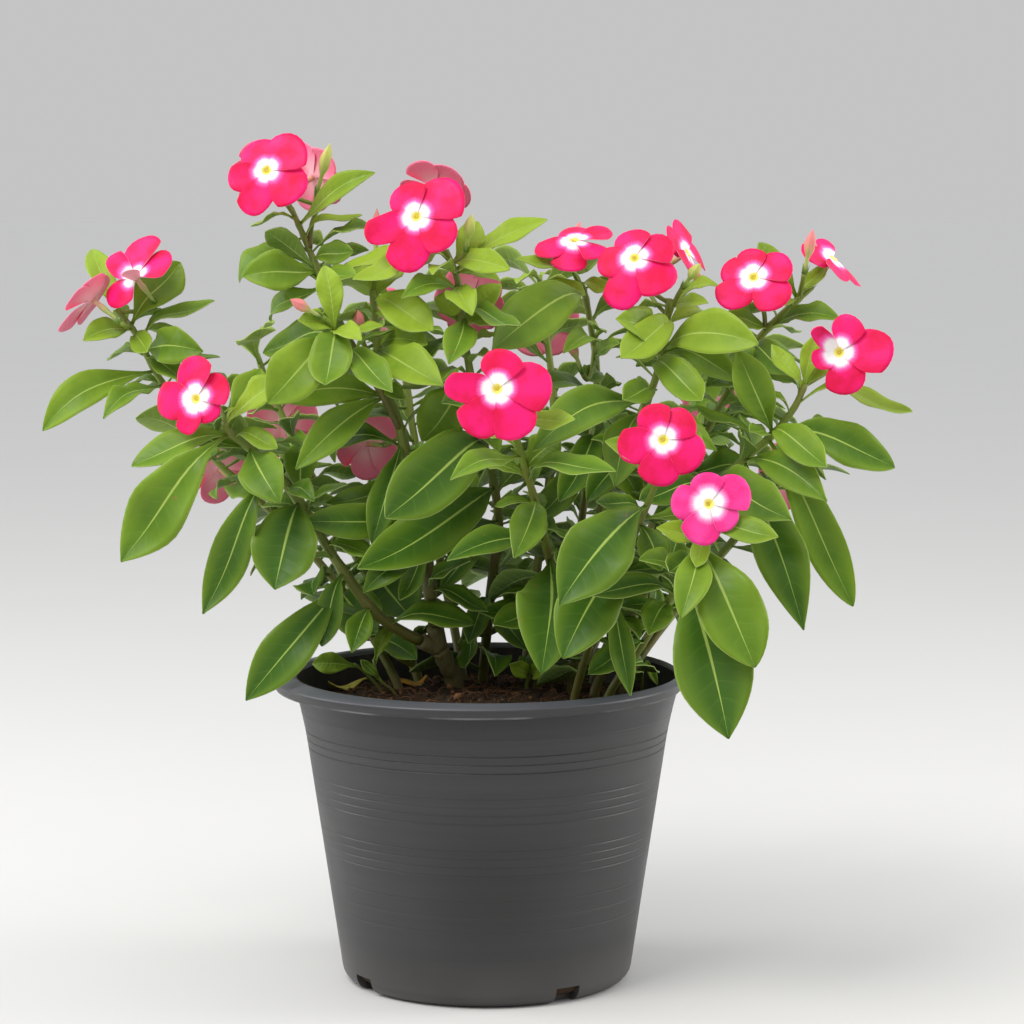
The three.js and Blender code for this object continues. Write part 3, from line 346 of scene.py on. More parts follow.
def pot_outline():
    edge = POT_HEIGHT - LIP_DROP
    lip_foot = edge - LIP_SKIRT
    foot = wall_radius(FOOT_ROUND) - FOOT_ROUND
    points = [(0, 0), (foot * 0.6, 0)] + arc((foot, FOOT_ROUND), FOOT_ROUND, -90, -8, 6)
    heights = [first - gap * k for first, count, gap, _ in RING_GROUPS for k in range(count)]
    depths = [depth for _, count, _, depth in RING_GROUPS for _ in range(count)]
    for height, depth in sorted(zip(heights + [BEAD_HEIGHT], depths + [-BEAD])):
        for offset, share in RING_SECTION:
            points.append((wall_radius(height + offset) - depth * share, height + offset))
    points += [(wall_radius(z), z) for z in (NECK, lip_foot - 3)]
    points += arc((LIP_RADIUS - 5.5, lip_foot - 1), 2, 180, 90, 3)
    points += [(LIP_RADIUS - 1.6, lip_foot), (LIP_RADIUS - 0.9, lip_foot + 0.3)]
    points += [(LIP_RADIUS - 0.6, lip_foot + 1), (LIP_RADIUS - 0.7, edge - 1.2)]
    points += arc((LIP_RADIUS - 1, edge), 1, -50, 60, 4)
    points += arc((MOUTH_RADIUS + LIP_ROUND, POT_HEIGHT - LIP_ROUND), LIP_ROUND, 75, 180, 5)
    points += [(inner_radius(z), z) for z in INNER_HEIGHTS]
    points += [(inner_radius(FLOOR) - FLOOR, FLOOR), (0, FLOOR)]
    return points


print("pot outline has", len(pot_outline()), "points")


# %% [markdown]
# ### Black plastic
# Old nursery pots are never quite black: the plastic is satin, greyer where it has rubbed, with
# faint streaks round the wall, a film of dust near the foot and a scratched lip whose top is
# painted paler, partly wear and partly a painted sheen. The streaks come from a noise that is
# stretched round the pot, and the dust, the pale lip top and a band of painted shade under the
# lip follow the height. A patch of painted shade darkens the middle of the wall in front.
# Inside, the plastic is painted darker for the shade in the pot, and splashed with brown soil.

# %% Black plastic
pot_plastic = new_finish("pot_plastic", Specular_IOR_Level=0.5)
place = object_place()
height = height_of(place)
streaks = speckle(stretched(place, (3, 3, 260)), 1.0, 4.0)
blotches = speckle(place, 22.0, 4.0)
scuffs = speckle(stretched(place, (14, 14, 500)), 1.0, 3.0)
# painted shade: a dark patch down the middle of the wall in front
middle = wire("VectorMath", {0: place, 1: (0.002, -0.09, 0.06)}, operation="DISTANCE").outputs[1]
painted_front_shade = ease(plus(times(blotches, 0.02), middle), 0.062, 0.018, 0.0, 0.5)
# the paler lip top: partly scuffed wear, partly a painted bluish sheen on the rounded top
lip_wear_and_sheen = blend(scuffs, (0.03, 0.032, 0.037), (0.09, 0.094, 0.108))
# painted shade: a darker band on the wall just under the lip
under_lip_shade = times(ease(height, 0.1345, 0.137), ease(height, 0.1495, 0.1475))
dust = times(ease(height, 0.03, 0.0), blotches)
seam = calc("ABSOLUTE", calc("SUBTRACT", height, 0.1481))
scratch = times(ease(seam, 0.0008, 0.0002), ease(blotches, 0.42, 0.6))
colour = layered(
    (0.014, 0.014, 0.015), (streaks, (0.034, 0.033, 0.034)),
    (times(blotches, 0.4), (0.045, 0.044, 0.045)), (painted_front_shade, (0.006, 0.006, 0.006)),
    (ease(height, 0.1518, 0.1526), lip_wear_and_sheen), (times(under_lip_shade, 0.45), (0.009, 0.009, 0.011)),
    (times(dust, 0.4), (0.14, 0.125, 0.105)), (times(scratch, 0.4), (0.3, 0.3, 0.31)))
paint(colour, plus(streaks, times(scuffs, 0.4)), 0.12, 0.0005)
feed("Roughness", ease(blotches, 0.3, 0.7, 0.38, 0.5))

# the inner wall: plastic painted darker for the shade inside the pot, with brown splashes of soil
pot_inside_soil_and_shade = new_finish("pot_inside_soil_and_shade", Roughness=0.7, Specular_IOR_Level=0.3)
splash = speckle(object_place(), 60.0, 5.0, 0.7)
colour = blend(ease(splash, 0.4, 0.75), (0.012, 0.011, 0.011), (0.05, 0.034, 0.022))
paint(colour, splash, 0.3, 0.0006)

# %% Turn the pot and cut its notches
POT_STEPS = 128
NOTCH_COUNT = 4
NOTCH_FIRST = -57
NOTCH_WIDTH = 13.5
NOTCH_HEIGHT = 8.5
NOTCH_DEPTH = 16
SHARP_ANGLE = 50


def turned(outline, steps):
    mesh = bmesh.new()
    verts = [mesh.verts.new((radius * MM, 0, z * MM)) for radius, z in outline]
    edges = [mesh.edges.new(pair) for pair in zip(verts, verts[1:])]
    bmesh.ops.spin(mesh, geom=verts + edges, axis=(0, 0, 1), cent=(0, 0, 0), angle=2 * math.pi,
                   steps=steps, use_merge=True)
    bmesh.ops.remove_doubles(mesh, verts=mesh.verts, dist=0.01 * MM)
    bmesh.ops.recalc_face_normals(mesh, faces=mesh.faces)
    return mesh


pot_mesh = turned(pot_outline(), POT_STEPS)
for vert in pot_mesh.verts:
    radius = math.hypot(vert.co.x, vert.co.y) / MM
    share = (radius - MOUTH_RADIUS - 1) / (LIP_RADIUS - LIP_ROUND - MOUTH_RADIUS - 1)
    vert.co.x -= LIP_SHIFT * MM * min(max(share, 0), 1)

notch_mesh = bmesh.new()
for k in range(NOTCH_COUNT):
    angle = math.radians(NOTCH_FIRST + 360 * k / NOTCH_COUNT)
    place = Matrix.Rotation(angle, 4, "Z") @ Matrix.Translation((BASE_RADIUS * MM, 0, 0))
    place = place @ Matrix.Diagonal((NOTCH_DEPTH * MM, NOTCH_WIDTH * MM, 2 * NOTCH_HEIGHT * MM, 1))
    bmesh.ops.create_cube(notch_mesh, size=1, matrix=place)
notch_data = bpy.data.meshes.new("notches")
notch_mesh.to_mesh(notch_data)
notch_mesh.free()
notches = bpy.data.objects.new("notches", notch_data)
bpy.context.scene.collection.objects.link(notches)

for face in pot_mesh.faces:
    middle = face.calc_center_median()
    inward = face.normal.x * middle.x + face.normal.y * middle.y < 0
    if inward and middle.z < (POT_HEIGHT - LIP_ROUND) * MM:
        face.material_index = 1

pot = finish_piece(pot_mesh, "pot", [pot_plastic, pot_inside_soil_and_shade])
cut = pot.modifiers.new("notches", "BOOLEAN")
cut.object = notches
cut.solver = "EXACT"
with bpy.context.temp_override(object=pot, active_object=pot, selected_objects=[pot]):
    bpy.ops.object.modifier_apply(modifier="notches")
bpy.data.objects.remove(notches)
pot.data.set_sharp_from_angle(angle=math.radians(SHARP_ANGLE))
print("pot has", len(pot.data.polygons), "faces")

# %% [markdown]
# ## Soil, crumbs and fibres
# The pot is filled with a dark mix of bark crumbs, grit and reddish coconut fibre, heaped a
# little in the middle. The body is turned like the pot and its top is roughened by noise. The
# crumbs are small lumps, and the fibres thin bent tubes, both strewn over it by a seeded draw.
# The noise that makes the crumbs uneven takes its start from the clock unless it gets a seed
# too, and with one each run makes the same crumbs.

# %% Soil finish
soil_mix = new_finish("soil_mix", Roughness=0.95, Specular_IOR_Level=0.25)
place = object_place()
grains = speckle(place, 420.0, 5.0, 0.7)
patches = speckle(place, 45.0, 3.0)
colour = layered((0.008, 0.005, 0.003), (grains, (0.075, 0.043, 0.022)),
                 (ease(patches, 0.5, 0.75), (0.055, 0.026, 0.012)))
paint(colour, grains, 0.8, 0.0012)

crumb_finish = new_finish("crumbs", Roughness=0.9, Specular_IOR_Level=0.3)
shade = mark("age")
grains = speckle(object_place(), 900.0, 3.0)
colour = blend(shade, (0.014, 0.009, 0.006), (0.26, 0.115, 0.045))
colour = blend(grains, colour, (0.03, 0.018, 0.01), "MULTIPLY")
paler = blend(shade, (0.02, 0.012, 0.008), (0.24, 0.115, 0.05))
paint(blend(0.65, colour, paler), grains, 0.6, 0.0006)

# %% Soil body
SOIL_TOP = 143
SOIL_DIP = 6
SOIL_LUMP = 1.6
SOIL_STEPS = 96
SOIL_RINGS = 48
SOIL_GAP = 0.35
SOIL_ROUGH = 1.1


def soil_height(x, y):
    share = min(1, math.hypot(x, y) / MOUTH_RADIUS)
    lumps = math.sin(x * 0.19 + 1) * math.cos(y * 0.23) + 0.6 * math.sin(x * 0.41 - y * 0.37 + 2)
    return SOIL_TOP - SOIL_DIP * share ** 2 + SOIL_LUMP * lumps * (1 - share ** 4)


soil_edge = inner_radius(SOIL_TOP - SOIL_DIP) - SOIL_GAP
soil_outline = [(0, FLOOR + SOIL_GAP), (inner_radius(FLOOR) - FLOOR - 1, FLOOR + SOIL_GAP)]
soil_outline += [(inner_radius(2 * FLOOR) - SOIL_GAP, 2 * FLOOR)]
soil_outline += [(soil_edge * k / SOIL_RINGS, SOIL_TOP) for k in range(SOIL_RINGS, -1, -1)]
soil_mesh = turned(soil_outline, SOIL_STEPS)
for vert in soil_mesh.verts:
    if vert.co.z > (SOIL_TOP - 1) * MM:
        x, y = vert.co.x / MM, vert.co.y / MM
        rough = noise.fractal(vert.co * 190, 1, 2, 4)
        vert.co.z = (soil_height(x, y) + SOIL_ROUGH * rough) * MM
soil = finish_piece(soil_mesh, "soil", [soil_mix])
print("soil has", len(soil.data.polygons), "faces")

# %% Crumbs and fibres
CRUMBS = 900
CRUMB_SIZES = (0.7, 2.8)
CRUMB_ROUGH = 0.28
FIBRES = 260
FIBRE_POINTS = 6
FIBRE_RISE = 2.2
FIBRE_RADII = (0.12, 0.26)
LITTER_REACH = 89
LITTER_SEED = 11
draw = random.Random(LITTER_SEED)
noise.seed_set(LITTER_SEED)


def spot_on_soil(reach):
    turn = draw.uniform(0, 2 * math.pi)
    radius = reach * math.sqrt(draw.random())
    x, y = radius * math.cos(turn), radius * math.sin(turn)
    return Vector((x, y, soil_height(x, y)))


strewn = bmesh.new()
shade = strewn.verts.layers.float.new("age")
for _ in range(CRUMBS):
    size = CRUMB_SIZES[0] + (CRUMB_SIZES[1] - CRUMB_SIZES[0]) * draw.random() ** 3
    centre = spot_on_soil(LITTER_REACH - size) * MM
    turn = Matrix.Rotation(draw.uniform(0, 6.28), 4, Vector((draw.random(), draw.random(), 1)))
    shape = Matrix.Diagonal((1, draw.uniform(0.6, 1), draw.uniform(0.4, 0.8), 1))
    place = Matrix.Translation(centre) @ turn @ shape
    made = bmesh.ops.create_icosphere(strewn, subdivisions=1, radius=size * MM, matrix=place)
    tone = draw.random() ** 2
    for vert in made["verts"]:
        vert.co += CRUMB_ROUGH * size * MM * noise.noise_vector(vert.co * 900)
        vert[shade] = tone
for _ in range(FIBRES):
    start = spot_on_soil(LITTER_REACH - 5)
    way = draw.uniform(0, 2 * math.pi)
    bend = draw.uniform(-0.35, 0.35)
    points = []
    for k in range(FIBRE_POINTS):
        start = start + Vector((math.cos(way), math.sin(way), 0)) * draw.uniform(1.5, 4.5)
        way += bend + draw.uniform(-0.3, 0.3)
        over = 0.4 + FIBRE_RISE * math.sin(math.pi * k / (FIBRE_POINTS - 1)) * draw.random()
        if math.hypot(start.x, start.y) < LITTER_REACH:
            points.append(Vector((start.x, start.y, soil_height(start.x, start.y) + over)) * MM)
    count = len(points)
    if count > 2:
        radius, tone = draw.uniform(*FIBRE_RADII) * MM, draw.uniform(0.5, 1)
        sweep(strewn, points, [radius] * count, 4, [tone] * count)
litter = finish_piece(strewn, "soil", [crumb_finish], "soil_litter")
print("crumbs and fibres have", len(litter.data.polygons), "faces")

# %% [markdown]
# ## The plant's plan
# Each shoot is a line of points in millimetres, and each leaf a row: the point of the shoot that
# it grows from, the place of its tip, its width, and how far its face turns from the sky to the
# front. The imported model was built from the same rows, so nothing has to be fitted by eye.

# %% Shoots
SHOOTS = {
    "left": ("stem_left", (3.6, 2), [
        (-24, 4, 166), (-43, -4, 176), (-58, -12, 189), (-76, -20, 216), (-92, -25, 243),
        (-111, -30, 266), (-125, -36, 278), (-127, -40, 284)]),
    "far_left": ("stem_left", (2.4, 1.6), [
        (-78, -21, 220), (-100, -8, 252), (-128, 3, 266), (-146, 7, 279), (-164, 8, 303),
        (-174, 8, 323), (-184, 8, 336)]),
    "tall": ("stem_tall", (4, 2), [
        (-24, 4, 166), (-28, 0, 191), (-30, -4, 218), (-34, -8, 241), (-40, -10, 266),
        (-45, -10, 286), (-50, -8, 297), (-54, -6, 321), (-56, -4, 346)]),
    "top_left": ("stem_tall", (2.4, 1.6), [
        (-49, -8, 292), (-60, -2, 308), (-72, 5, 328), (-86, 12, 360), (-91, 14, 372), (-97, 12, 386)]),
    "top_fork": ("stem_tall", (1.7, 1.3), [(-88, 13, 366), (-87, 17, 378), (-83, 21, 388)]),
    "rosette": ("stem_tall", (2.2, 1.6), [
        (-42, -10, 276), (-54, -20, 300), (-66, -28, 316), (-75, -32, 328)]),
    "centre": ("stem_centre", (3.2, 1.8), [
        (-4, 42, 119), (-2, 40, 146), (2, 30, 190), (6, 18, 226), (3, 8, 251), (-3, -2, 276),
        (-9, -10, 311), (-12, -13, 331), (-14, -14, 351), (-20, -14, 366)]),
    "front": ("stem_front", (3, 1.7), [
        (24, 24, 119), (26, 18, 146), (34, -4, 190), (27, -36, 232), (18, -62, 265), (13, -76, 284)]),
    "middle_right": ("stem_middle_right", (2.8, 1.7), [
        (36, 54, 119), (38, 52, 146), (45, 46, 200), (53, 40, 260), (56, 36, 301), (51, 34, 336),
        (48, 34, 348)]),
    "right_centre": ("stem_right_centre", (3.2, 1.8), [
        (42, 14, 119), (43, 12, 146), (56, 2, 231), (66, -4, 256), (76, -8, 283), (83, -10, 301),
        (88, -10, 321), (90, -8, 342)]),
    "far_right": ("stem_far_right", (3.4, 1.8), [
        (54, 42, 119), (56, 42, 146), (75, 38, 190), (95, 32, 241), (107, 26, 266), (118, 20, 287),
        (133, 12, 316), (141, 8, 327), (153, 6, 339), (162, 6, 347)]),
    "far_right_spur": ("stem_far_right", (1.5, 1.3), [(139, 9, 324), (138, 4, 334), (135, -1, 341)]),
    "right": ("stem_right", (3.2, 1.8), [
        (52, -6, 119), (54, -7, 146), (66, -10, 170), (86, -16, 211), (106, -24, 246),
        (126, -29, 264), (140, -32, 277), (150, -34, 290), (155, -36, 302)]),
    "front_right": ("stem_front_right", (2.8, 1.6), [
        (42, -14, 119), (44, -17, 146), (56, -36, 190), (70, -60, 228), (79, -72, 252), (83, -78, 262)]),
    "low_right": ("stem_low_right", (2.8, 1.6), [
        (56, -32, 119), (59, -34, 146), (76, -48, 176), (90, -66, 203), (97, -80, 219),
        (103, -89, 234)]),
    "back_left": ("stem_back_left", (3.2, 1.8), [
        (-34, 44, 119), (-36, 47, 146), (-64, 76, 196), (-96, 104, 250), (-116, 120, 290),
        (-122, 124, 306)]),
    "back_middle": ("stem_back_middle", (3.2, 1.8), [
        (-12, 62, 119), (-13, 65, 146), (-26, 98, 206), (-40, 124, 270), (-46, 134, 320),
        (-48, 136, 334)]),
    "back_tall": ("stem_back_tall", (3, 1.8), [
        (18, 64, 119), (20, 67, 146), (28, 92, 206), (36, 112, 270), (30, 120, 330), (28, 122, 348)]),
    "back_right": ("stem_back_right", (3.2, 1.8), [
        (48, 56, 119), (50, 58, 146), (78, 88, 200), (108, 116, 256), (122, 130, 298),
        (126, 134, 312)]),
    "weed_round": ("weed_left", (0.9, 0.8), [
        (-52, 12, 130), (-53, 12, 142), (-60, 12, 151), (-67, 12, 157)]),
    "weed_tall": ("weed_tall", (0.9, 0.8), [
        (-45, 8, 130), (-46, 8, 142), (-54, 6, 150), (-57, 6, 160)]),
    "sprout": ("sprout", (1.2, 1), [(20, 14, 130), (20, 14, 144), (21, 13, 149), (22, 12, 153)]),
    "grass": ("grass", (0.9, 0.8), [(79, 24, 128), (79, 24, 140), (79, 22, 150), (81, 20, 157)]),
    "side_left": ("stem_side_left", (3, 1.8), [
        (-42, 22, 119), (-46, 24, 146), (-74, 42, 190), (-108, 58, 226), (-140, 70, 254),
        (-150, 73, 268)]),
    "side_right": ("stem_side_right", (3, 1.8), [
        (68, 24, 119), (71, 25, 146), (100, 42, 184), (134, 58, 222), (160, 68, 256), (166, 70, 270)]),
}
TRUNK_PATH = [(-14, 20, 119), (-16, 18, 146), (-20, 10, 157), (-24, 4, 166)]
TRUNK_RADII = (5, 4.6)
SEATED = ("left", "tall")
STUB_POINT = 0.45
SEAT_POINT = 0.48
print("the plan has", len(SHOOTS), "shoots")

# %% Leaves by shoot
LEAVES = {
    "left": [
        (6, -177, -52, 217, 30, 0.75), (4, -102, -62, 205, 32, 0.85), (5.3, -99, -66, 247, 22, 0.85),
        (4.7, -138, -48, 191, 20, 0.7), (2.6, -118, -40, 147, 24, 0.75), (5.9, -172, -46, 263, 18, 0.5),
        (5.3, -158, -30, 275, 16, 0.45), (6.1, -111, -12, 308, 17, 0.7), (6.9, -95, -44, 304, 16, 0.5),
        (4, -92, -10, 272, 17, 0.7), (2.7, -81, -34, 173, 14, 0.6), (2, -66, -40, 171, 13, 0.6)],
    "far_left": [
        (4.1, -218, -20, 278, 19, 0.6), (3.8, -187, -30, 285, 14, 0.45), (5.3, -153, 14, 359, 22, 0.7),
        (4.7, -135, 0, 341, 13, 0.35), (4.6, -139, -22, 317, 19, 0.8), (5.2, -198, -14, 322, 14, 0.6),
        (5.5, -199, 30, 365, 13, 0.5), (3.5, -180, 30, 294, 15, 0.3), (2.9, -134, 30, 303, 16, 0.5)],
    "tall": [
        (4.3, -56, -34, 223, 16, 0.8), (2.6, -90, -36, 235, 18, 0.8), (3, -80, -10, 241, 16, 0.5),
        (5.7, -101, -34, 294, 18, 0.75), (5.8, -92, -52, 262, 18, 0.75), (6.9, -29, -30, 321, 18, 0.7),
        (6.8, -21, -58, 303, 22, 0.7), (7.8, -26, -34, 328, 20, 0.7), (7.8, -43, 10, 359, 12, 0.4),
        (7.9, -70, 6, 359, 12, 0.4), (2, -61, -24, 198, 15, 0.6), (2, -43, -20, 194, 11, 0.6),
        (4.1, -93, 10, 268, 19, 0.5), (1.2, -8, -30, 215, 15, 0.5)],
    "top_left": [
        (4, -124, 20, 349, 18, 0.35), (2.8, -120, -6, 353, 21, 0.75), (3, -66, 0, 365, 13, 0.6),
        (4.4, -55, -6, 404, 13, 0.6), (3.9, -62, 14, 383, 9, 0.3), (2.6, -109, 30, 329, 16, 0.5),
        (2.3, -94, 40, 358, 15, 0.4), (1.7, -112, 14, 314, 18, 0.6)],
    "rosette": [
        (2.9, -79, -26, 359, 13, 0.9), (2.8, -77, -64, 304, 21, 0.8), (2.9, -105, -50, 294, 26, 0.75),
        (2.9, -90, -50, 334, 11, 0.6), (2.9, -60, -60, 325, 11, 0.6), (2.3, -99, -14, 306, 18, 0.6),
        (2.1, -45, -70, 301, 16, 0.6)],
    "centre": [
        (7, -18, -50, 313, 16, 0.85), (7, 16, -44, 331, 14, 0.35), (7.8, -41, -40, 344, 12, 0.6),
        (7.9, -7, -46, 336, 15, 0.8), (7.9, -22, -10, 335, 14, 0.8), (8.5, 11, -44, 358, 13, 0.7),
        (8.5, -4, -6, 380, 14, 0.8), (8.7, -65, -30, 353, 15, 0.4), (8.3, 30, -4, 381, 13, 0.5),
        (8.9, -76, 16, 357, 14, 0.3), (5.2, -21, -50, 294, 15, 0.6), (5.7, -32, -40, 279, 25, 0.6),
        (4.8, -48, -74, 241, 32, 0.75), (3.8, -62, -62, 215, 28, 0.75), (4.5, -22, -62, 261, 15, 0.6),
        (3.1, -19, -30, 217, 17, 0.6), (2.7, -23, 0, 196, 13, 0.5), (2.3, 22, 20, 178, 15, 0.5),
        (1.9, -9, -10, 171, 12, 0.6), (1.7, 20, 0, 166, 13, 0.6)],
    "front": [
        (3.4, 13, -92, 224, 18, 0.85), (3.7, 60, -110, 267, 15, 0.5), (3.9, 35, -60, 278, 17, 0.6),
        (2.8, -19, -70, 220, 17, 0.5), (2.6, 26, -88, 168, 34, 0.85), (4.2, -17, -100, 262, 14, 0.5),
        (4.7, 41, -96, 290, 12, 0.5)],
    "middle_right": [
        (5.2, 30, 20, 349, 11, 0.6), (5.6, 15, 10, 367, 11, 0.4), (5.2, 3, -30, 318, 28, 0.75),
        (5.9, 62, 20, 345, 9, 0.5), (4.5, 38, -8, 316, 14, 0.7), (4.1, 66, 10, 319, 11, 0.6),
        (3.7, 21, -12, 297, 18, 0.5), (3.2, 36, -20, 243, 17, 0.6), (3.1, 77, 10, 240, 17, 0.6),
        (2.8, 22, 10, 230, 17, 0.5), (2.1, 67, 20, 188, 17, 0.5)],
    "right_centre": [
        (6.4, 65, -54, 316, 18, 0.8), (5.9, 63, -40, 334, 19, 0.6), (6.7, 108, -24, 341, 11, 0.5),
        (6.9, 115, -6, 348, 12, 0.3), (5.8, 130, -58, 323, 23, 0.7), (5.7, 123, -36, 303, 16, 0.6),
        (5.3, 103, -60, 296, 17, 0.8), (4.4, 22, -74, 273, 23, 0.7), (4.2, 111, -54, 271, 17, 0.7),
        (4.1, 62, -56, 254, 20, 0.7), (3.2, 49, -40, 245, 15, 0.6), (3.6, 100, -20, 258, 17, 0.5),
        (1.9, 74, -50, 237, 14, 0.6)],
    "far_right": [
        (5.5, 124, -30, 318, 15, 0.7), (6, 149, -30, 306, 15, 0.7), (7, 174, -12, 332, 14, 0.5),
        (8.2, 136, 14, 369, 14, 0.6), (8.1, 169, 0, 359, 9, 0.5), (6, 108, 30, 299, 17, 0.5),
        (5.4, 154, 40, 313, 15, 0.5), (4.5, 145, 50, 287, 17, 0.5), (4.5, 87, 20, 269, 17, 0.5),
        (7, 116, -4, 332, 12, 0.6), (3.3, 134, 40, 252, 18, 0.5)],
    "right": [
        (7.1, 207, -40, 289, 15, 0.25), (6, 198, -46, 262, 22, 0.7), (6, 161, -82, 266, 17, 0.8),
        (6, 121, -46, 319, 19, 0.75), (5, 162, -76, 249, 19, 0.75), (5.8, 177, -60, 196, 20, 0.8),
        (5, 151, -84, 188, 25, 0.8), (7.8, 160, -36, 326, 10, 0.7), (7.7, 174, -28, 319, 12, 0.6),
        (7.8, 139, -34, 321, 10, 0.6), (4.4, 143, -100, 243, 24, 0.75), (4, 74, -60, 248, 15, 0.6),
        (3, 65, -50, 203, 14, 0.6), (6.5, 120, -10, 289, 15, 0.5)],
    "front_right": [
        (4.9, 102, -60, 281, 14, 0.6), (3.7, 34, -112, 204, 33, 0.85), (3.3, 83, -80, 216, 16, 0.7),
        (4.8, 56, -90, 279, 14, 0.6), (2.7, 36, -100, 177, 30, 0.8), (2.3, 69, -74, 155, 12, 0.8)],
    "low_right": [
        (4.7, 90, -126, 200, 17, 0.85), (4.7, 125, -122, 176, 31, 0.85), (3.5, 113, -120, 142, 37, 0.85),
        (4.8, 80, -100, 239, 11, 0.7), (4.9, 135, -118, 237, 14, 0.6), (4.9, 98, -128, 228, 9, 0.8),
        (3, 50, -92, 206, 14, 0.5), (2.8, 77, -90, 187, 16, 0.7), (3.5, 72, -100, 224, 14, 0.5)],
    "weed_round": [(2.8, -88, 12, 157, 11, 0.75)],
    "weed_tall": [(2.8, -48, 8, 177, 8, 0.6), (2, -63, 4, 160, 5, 0.7)],
    "sprout": [(2.6, 12, 2, 158, 9, 0.8), (2.9, 30, 0, 156, 9, 0.8), (2, 20, 28, 158, 8, 0.4)],
    "grass": [(3, 86, 8, 141, 4, 0.5)],
}
print("leaves listed:", sum(len(rows) for rows in LEAVES.values()))

# %% [markdown]
# ### Leaves of the hidden side
# The photograph doesn't show the back, so its leaves follow the plant's own rule: they grow in
# opposite pairs, each pair a quarter turn on from the one below, smaller and more upright
# towards the tip. A seeded draw varies them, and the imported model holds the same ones.

# %% Leaves by rule
FILLS = {
    "back_left": (1.8, 5, 5, 58), "back_middle": (1.8, 5, 5, 56), "back_tall": (1.8, 5, 5, 54),
    "back_right": (1.8, 5, 5, 58), "side_left": (1.8, 5, 4, 54), "side_right": (1.8, 5, 4, 54),
}
FILL_SEED = 1907
FILL_FACING = -0.45


def facing_way(turn, rise):
    turn, rise = math.radians(turn), math.radians(rise)
    flat = math.cos(rise)
    return Vector((math.sin(turn) * flat, -math.cos(turn) * flat, math.sin(rise)))


class SeededDraw:
    def __init__(self, seed):
        self.state = seed

    def next(self):
        self.state = self.state * 16807 % 2147483647
        return self.state / 2147483647


def nearest_whole(value):
    return math.floor(value + 0.5)


def leaf_pairs(name, seeded):
    first, last, pairs, length = FILLS[name]
    rows = []
    turn = seeded.next() * 180
    for k in range(pairs):
        share = k / pairs
        at = first + (last - first) * (share + 0.04)
        base = line_point(SHOOTS[name][2], at)
        for side in (0, 180):
            way = turn + side + 24 * (seeded.next() - 0.5)
            reach = length * (0.8 + 0.4 * seeded.next()) * (1 - 0.35 * share)
            rise = -22 + 52 * share + 24 * (seeded.next() - 0.5)
            width = nearest_whole(reach * (0.42 + 0.08 * seeded.next()))
            tip = base + facing_way(way, rise) * reach
            rows.append((at, *[nearest_whole(value) for value in tip], width, FILL_FACING))
        turn += 90
    return rows


seeded = SeededDraw(FILL_SEED)
ALL_LEAVES = dict(LEAVES)
for name in FILLS:
    ALL_LEAVES[name] = leaf_pairs(name, seeded)
print("leaves in all:", sum(len(rows) for rows in ALL_LEAVES.values()))

# %% [markdown]
# ### Which way each leaf was bent
# Where a leaf would have run through a neighbour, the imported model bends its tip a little, and
# leaves it out where no bend helps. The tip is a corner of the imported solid, so each bend can
# be looked up there: the one whose tip meets a corner is the one that was used.

# %% Find each leaf's tip
BENDS = [
    (0, 0, 0), (0, -6, 0), (0, 6, 0), (0, 0, 6), (0, 0, -6), (0, -12, 3), (0, 12, 3), (5, -6, -4),
    (-5, -6, -4), (6, 6, 6), (-6, 6, 6), (0, -18, -6), (0, 18, -6), (0, 0, 14), (0, 0, -14),
    (10, 0, 4), (-10, 0, 4), (12, -12, -8), (-12, -12, -8), (12, 12, 8), (-12, 12, 8)]
SAME_SPOT = 0.08


def corner_finder(node):
    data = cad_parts[node].data
    tree = kdtree.KDTree(len(data.vertices))
    for vert in data.vertices:
        tree.insert(vert.co, vert.index)
    tree.balance()
    return tree


def leaf_tip(corners, wanted):
    for bend in BENDS:
        tip = (Vector(wanted) + Vector(bend)) * MM
        if corners.find(tip)[2] < SAME_SPOT * MM:
            return tip
    return None


# %% [markdown]
# ### The leaf blade
# A periwinkle leaf is a long oval, widest past its middle, on a short flat stalk, with a pale
# midrib and about nine pairs of arching side veins. It could be cut from a flat outline, but a
# grid that a formula bends keeps even faces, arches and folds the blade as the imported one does,
# and its own map carries the veins. A draw gives each blade its own twist, ripple, curl and
# bluntness, and a solidified underside closes it.

# %% Leaf blade
LEAF_ARCH = 0.13
LEAF_FOLD = 0.24
NEARLY_ALONG = 0.97
LEAF_STEPS = 16
LEAF_COLUMNS = 8
LEAF_SHEET = 0.45
STALK_HALF = 0.9
TIP_HALF = 0.25
MIDRIB_HALF = 0.8
MIDRIB_DEEP = 0.4
TIP_CROWDING = 1.4
RIPPLES = 15
WAVES, RIPPLE, TWIST, SWING = (0, 6.28), (0.06, 0.26), (-0.4, 0.4), (-0.06, 0.06)
BLUNT, CURL, TONE, RIPE = (0.7, 1.0), (-0.06, 0.1), (0, 1), (0, 0.3)
LEAF_SPANS = (WAVES, RIPPLE, TWIST, SWING, BLUNT, CURL, TONE, RIPE)


def leaf_axes(base, tip, facing):
    along = (tip - base).normalized()
    outward = Vector((tip.x, tip.y, 0)).normalized()
    side = outward if facing < 0 else Vector((0, -1, 0))
    wanted = side * abs(facing) + Vector((0, 0, 1 - abs(facing)))
    if abs(along.dot(wanted.normalized())) > NEARLY_ALONG:
        wanted = outward
    out = (wanted - along * wanted.dot(along)).normalized()
    return along, out.cross(along).normalized(), out


def blade_half(share, blunt):
    half = 0.5 * math.sin(math.pi * min(share, 0.9995) ** 1.5) ** blunt
    return half * math.sqrt(min(share / 0.3, 1))


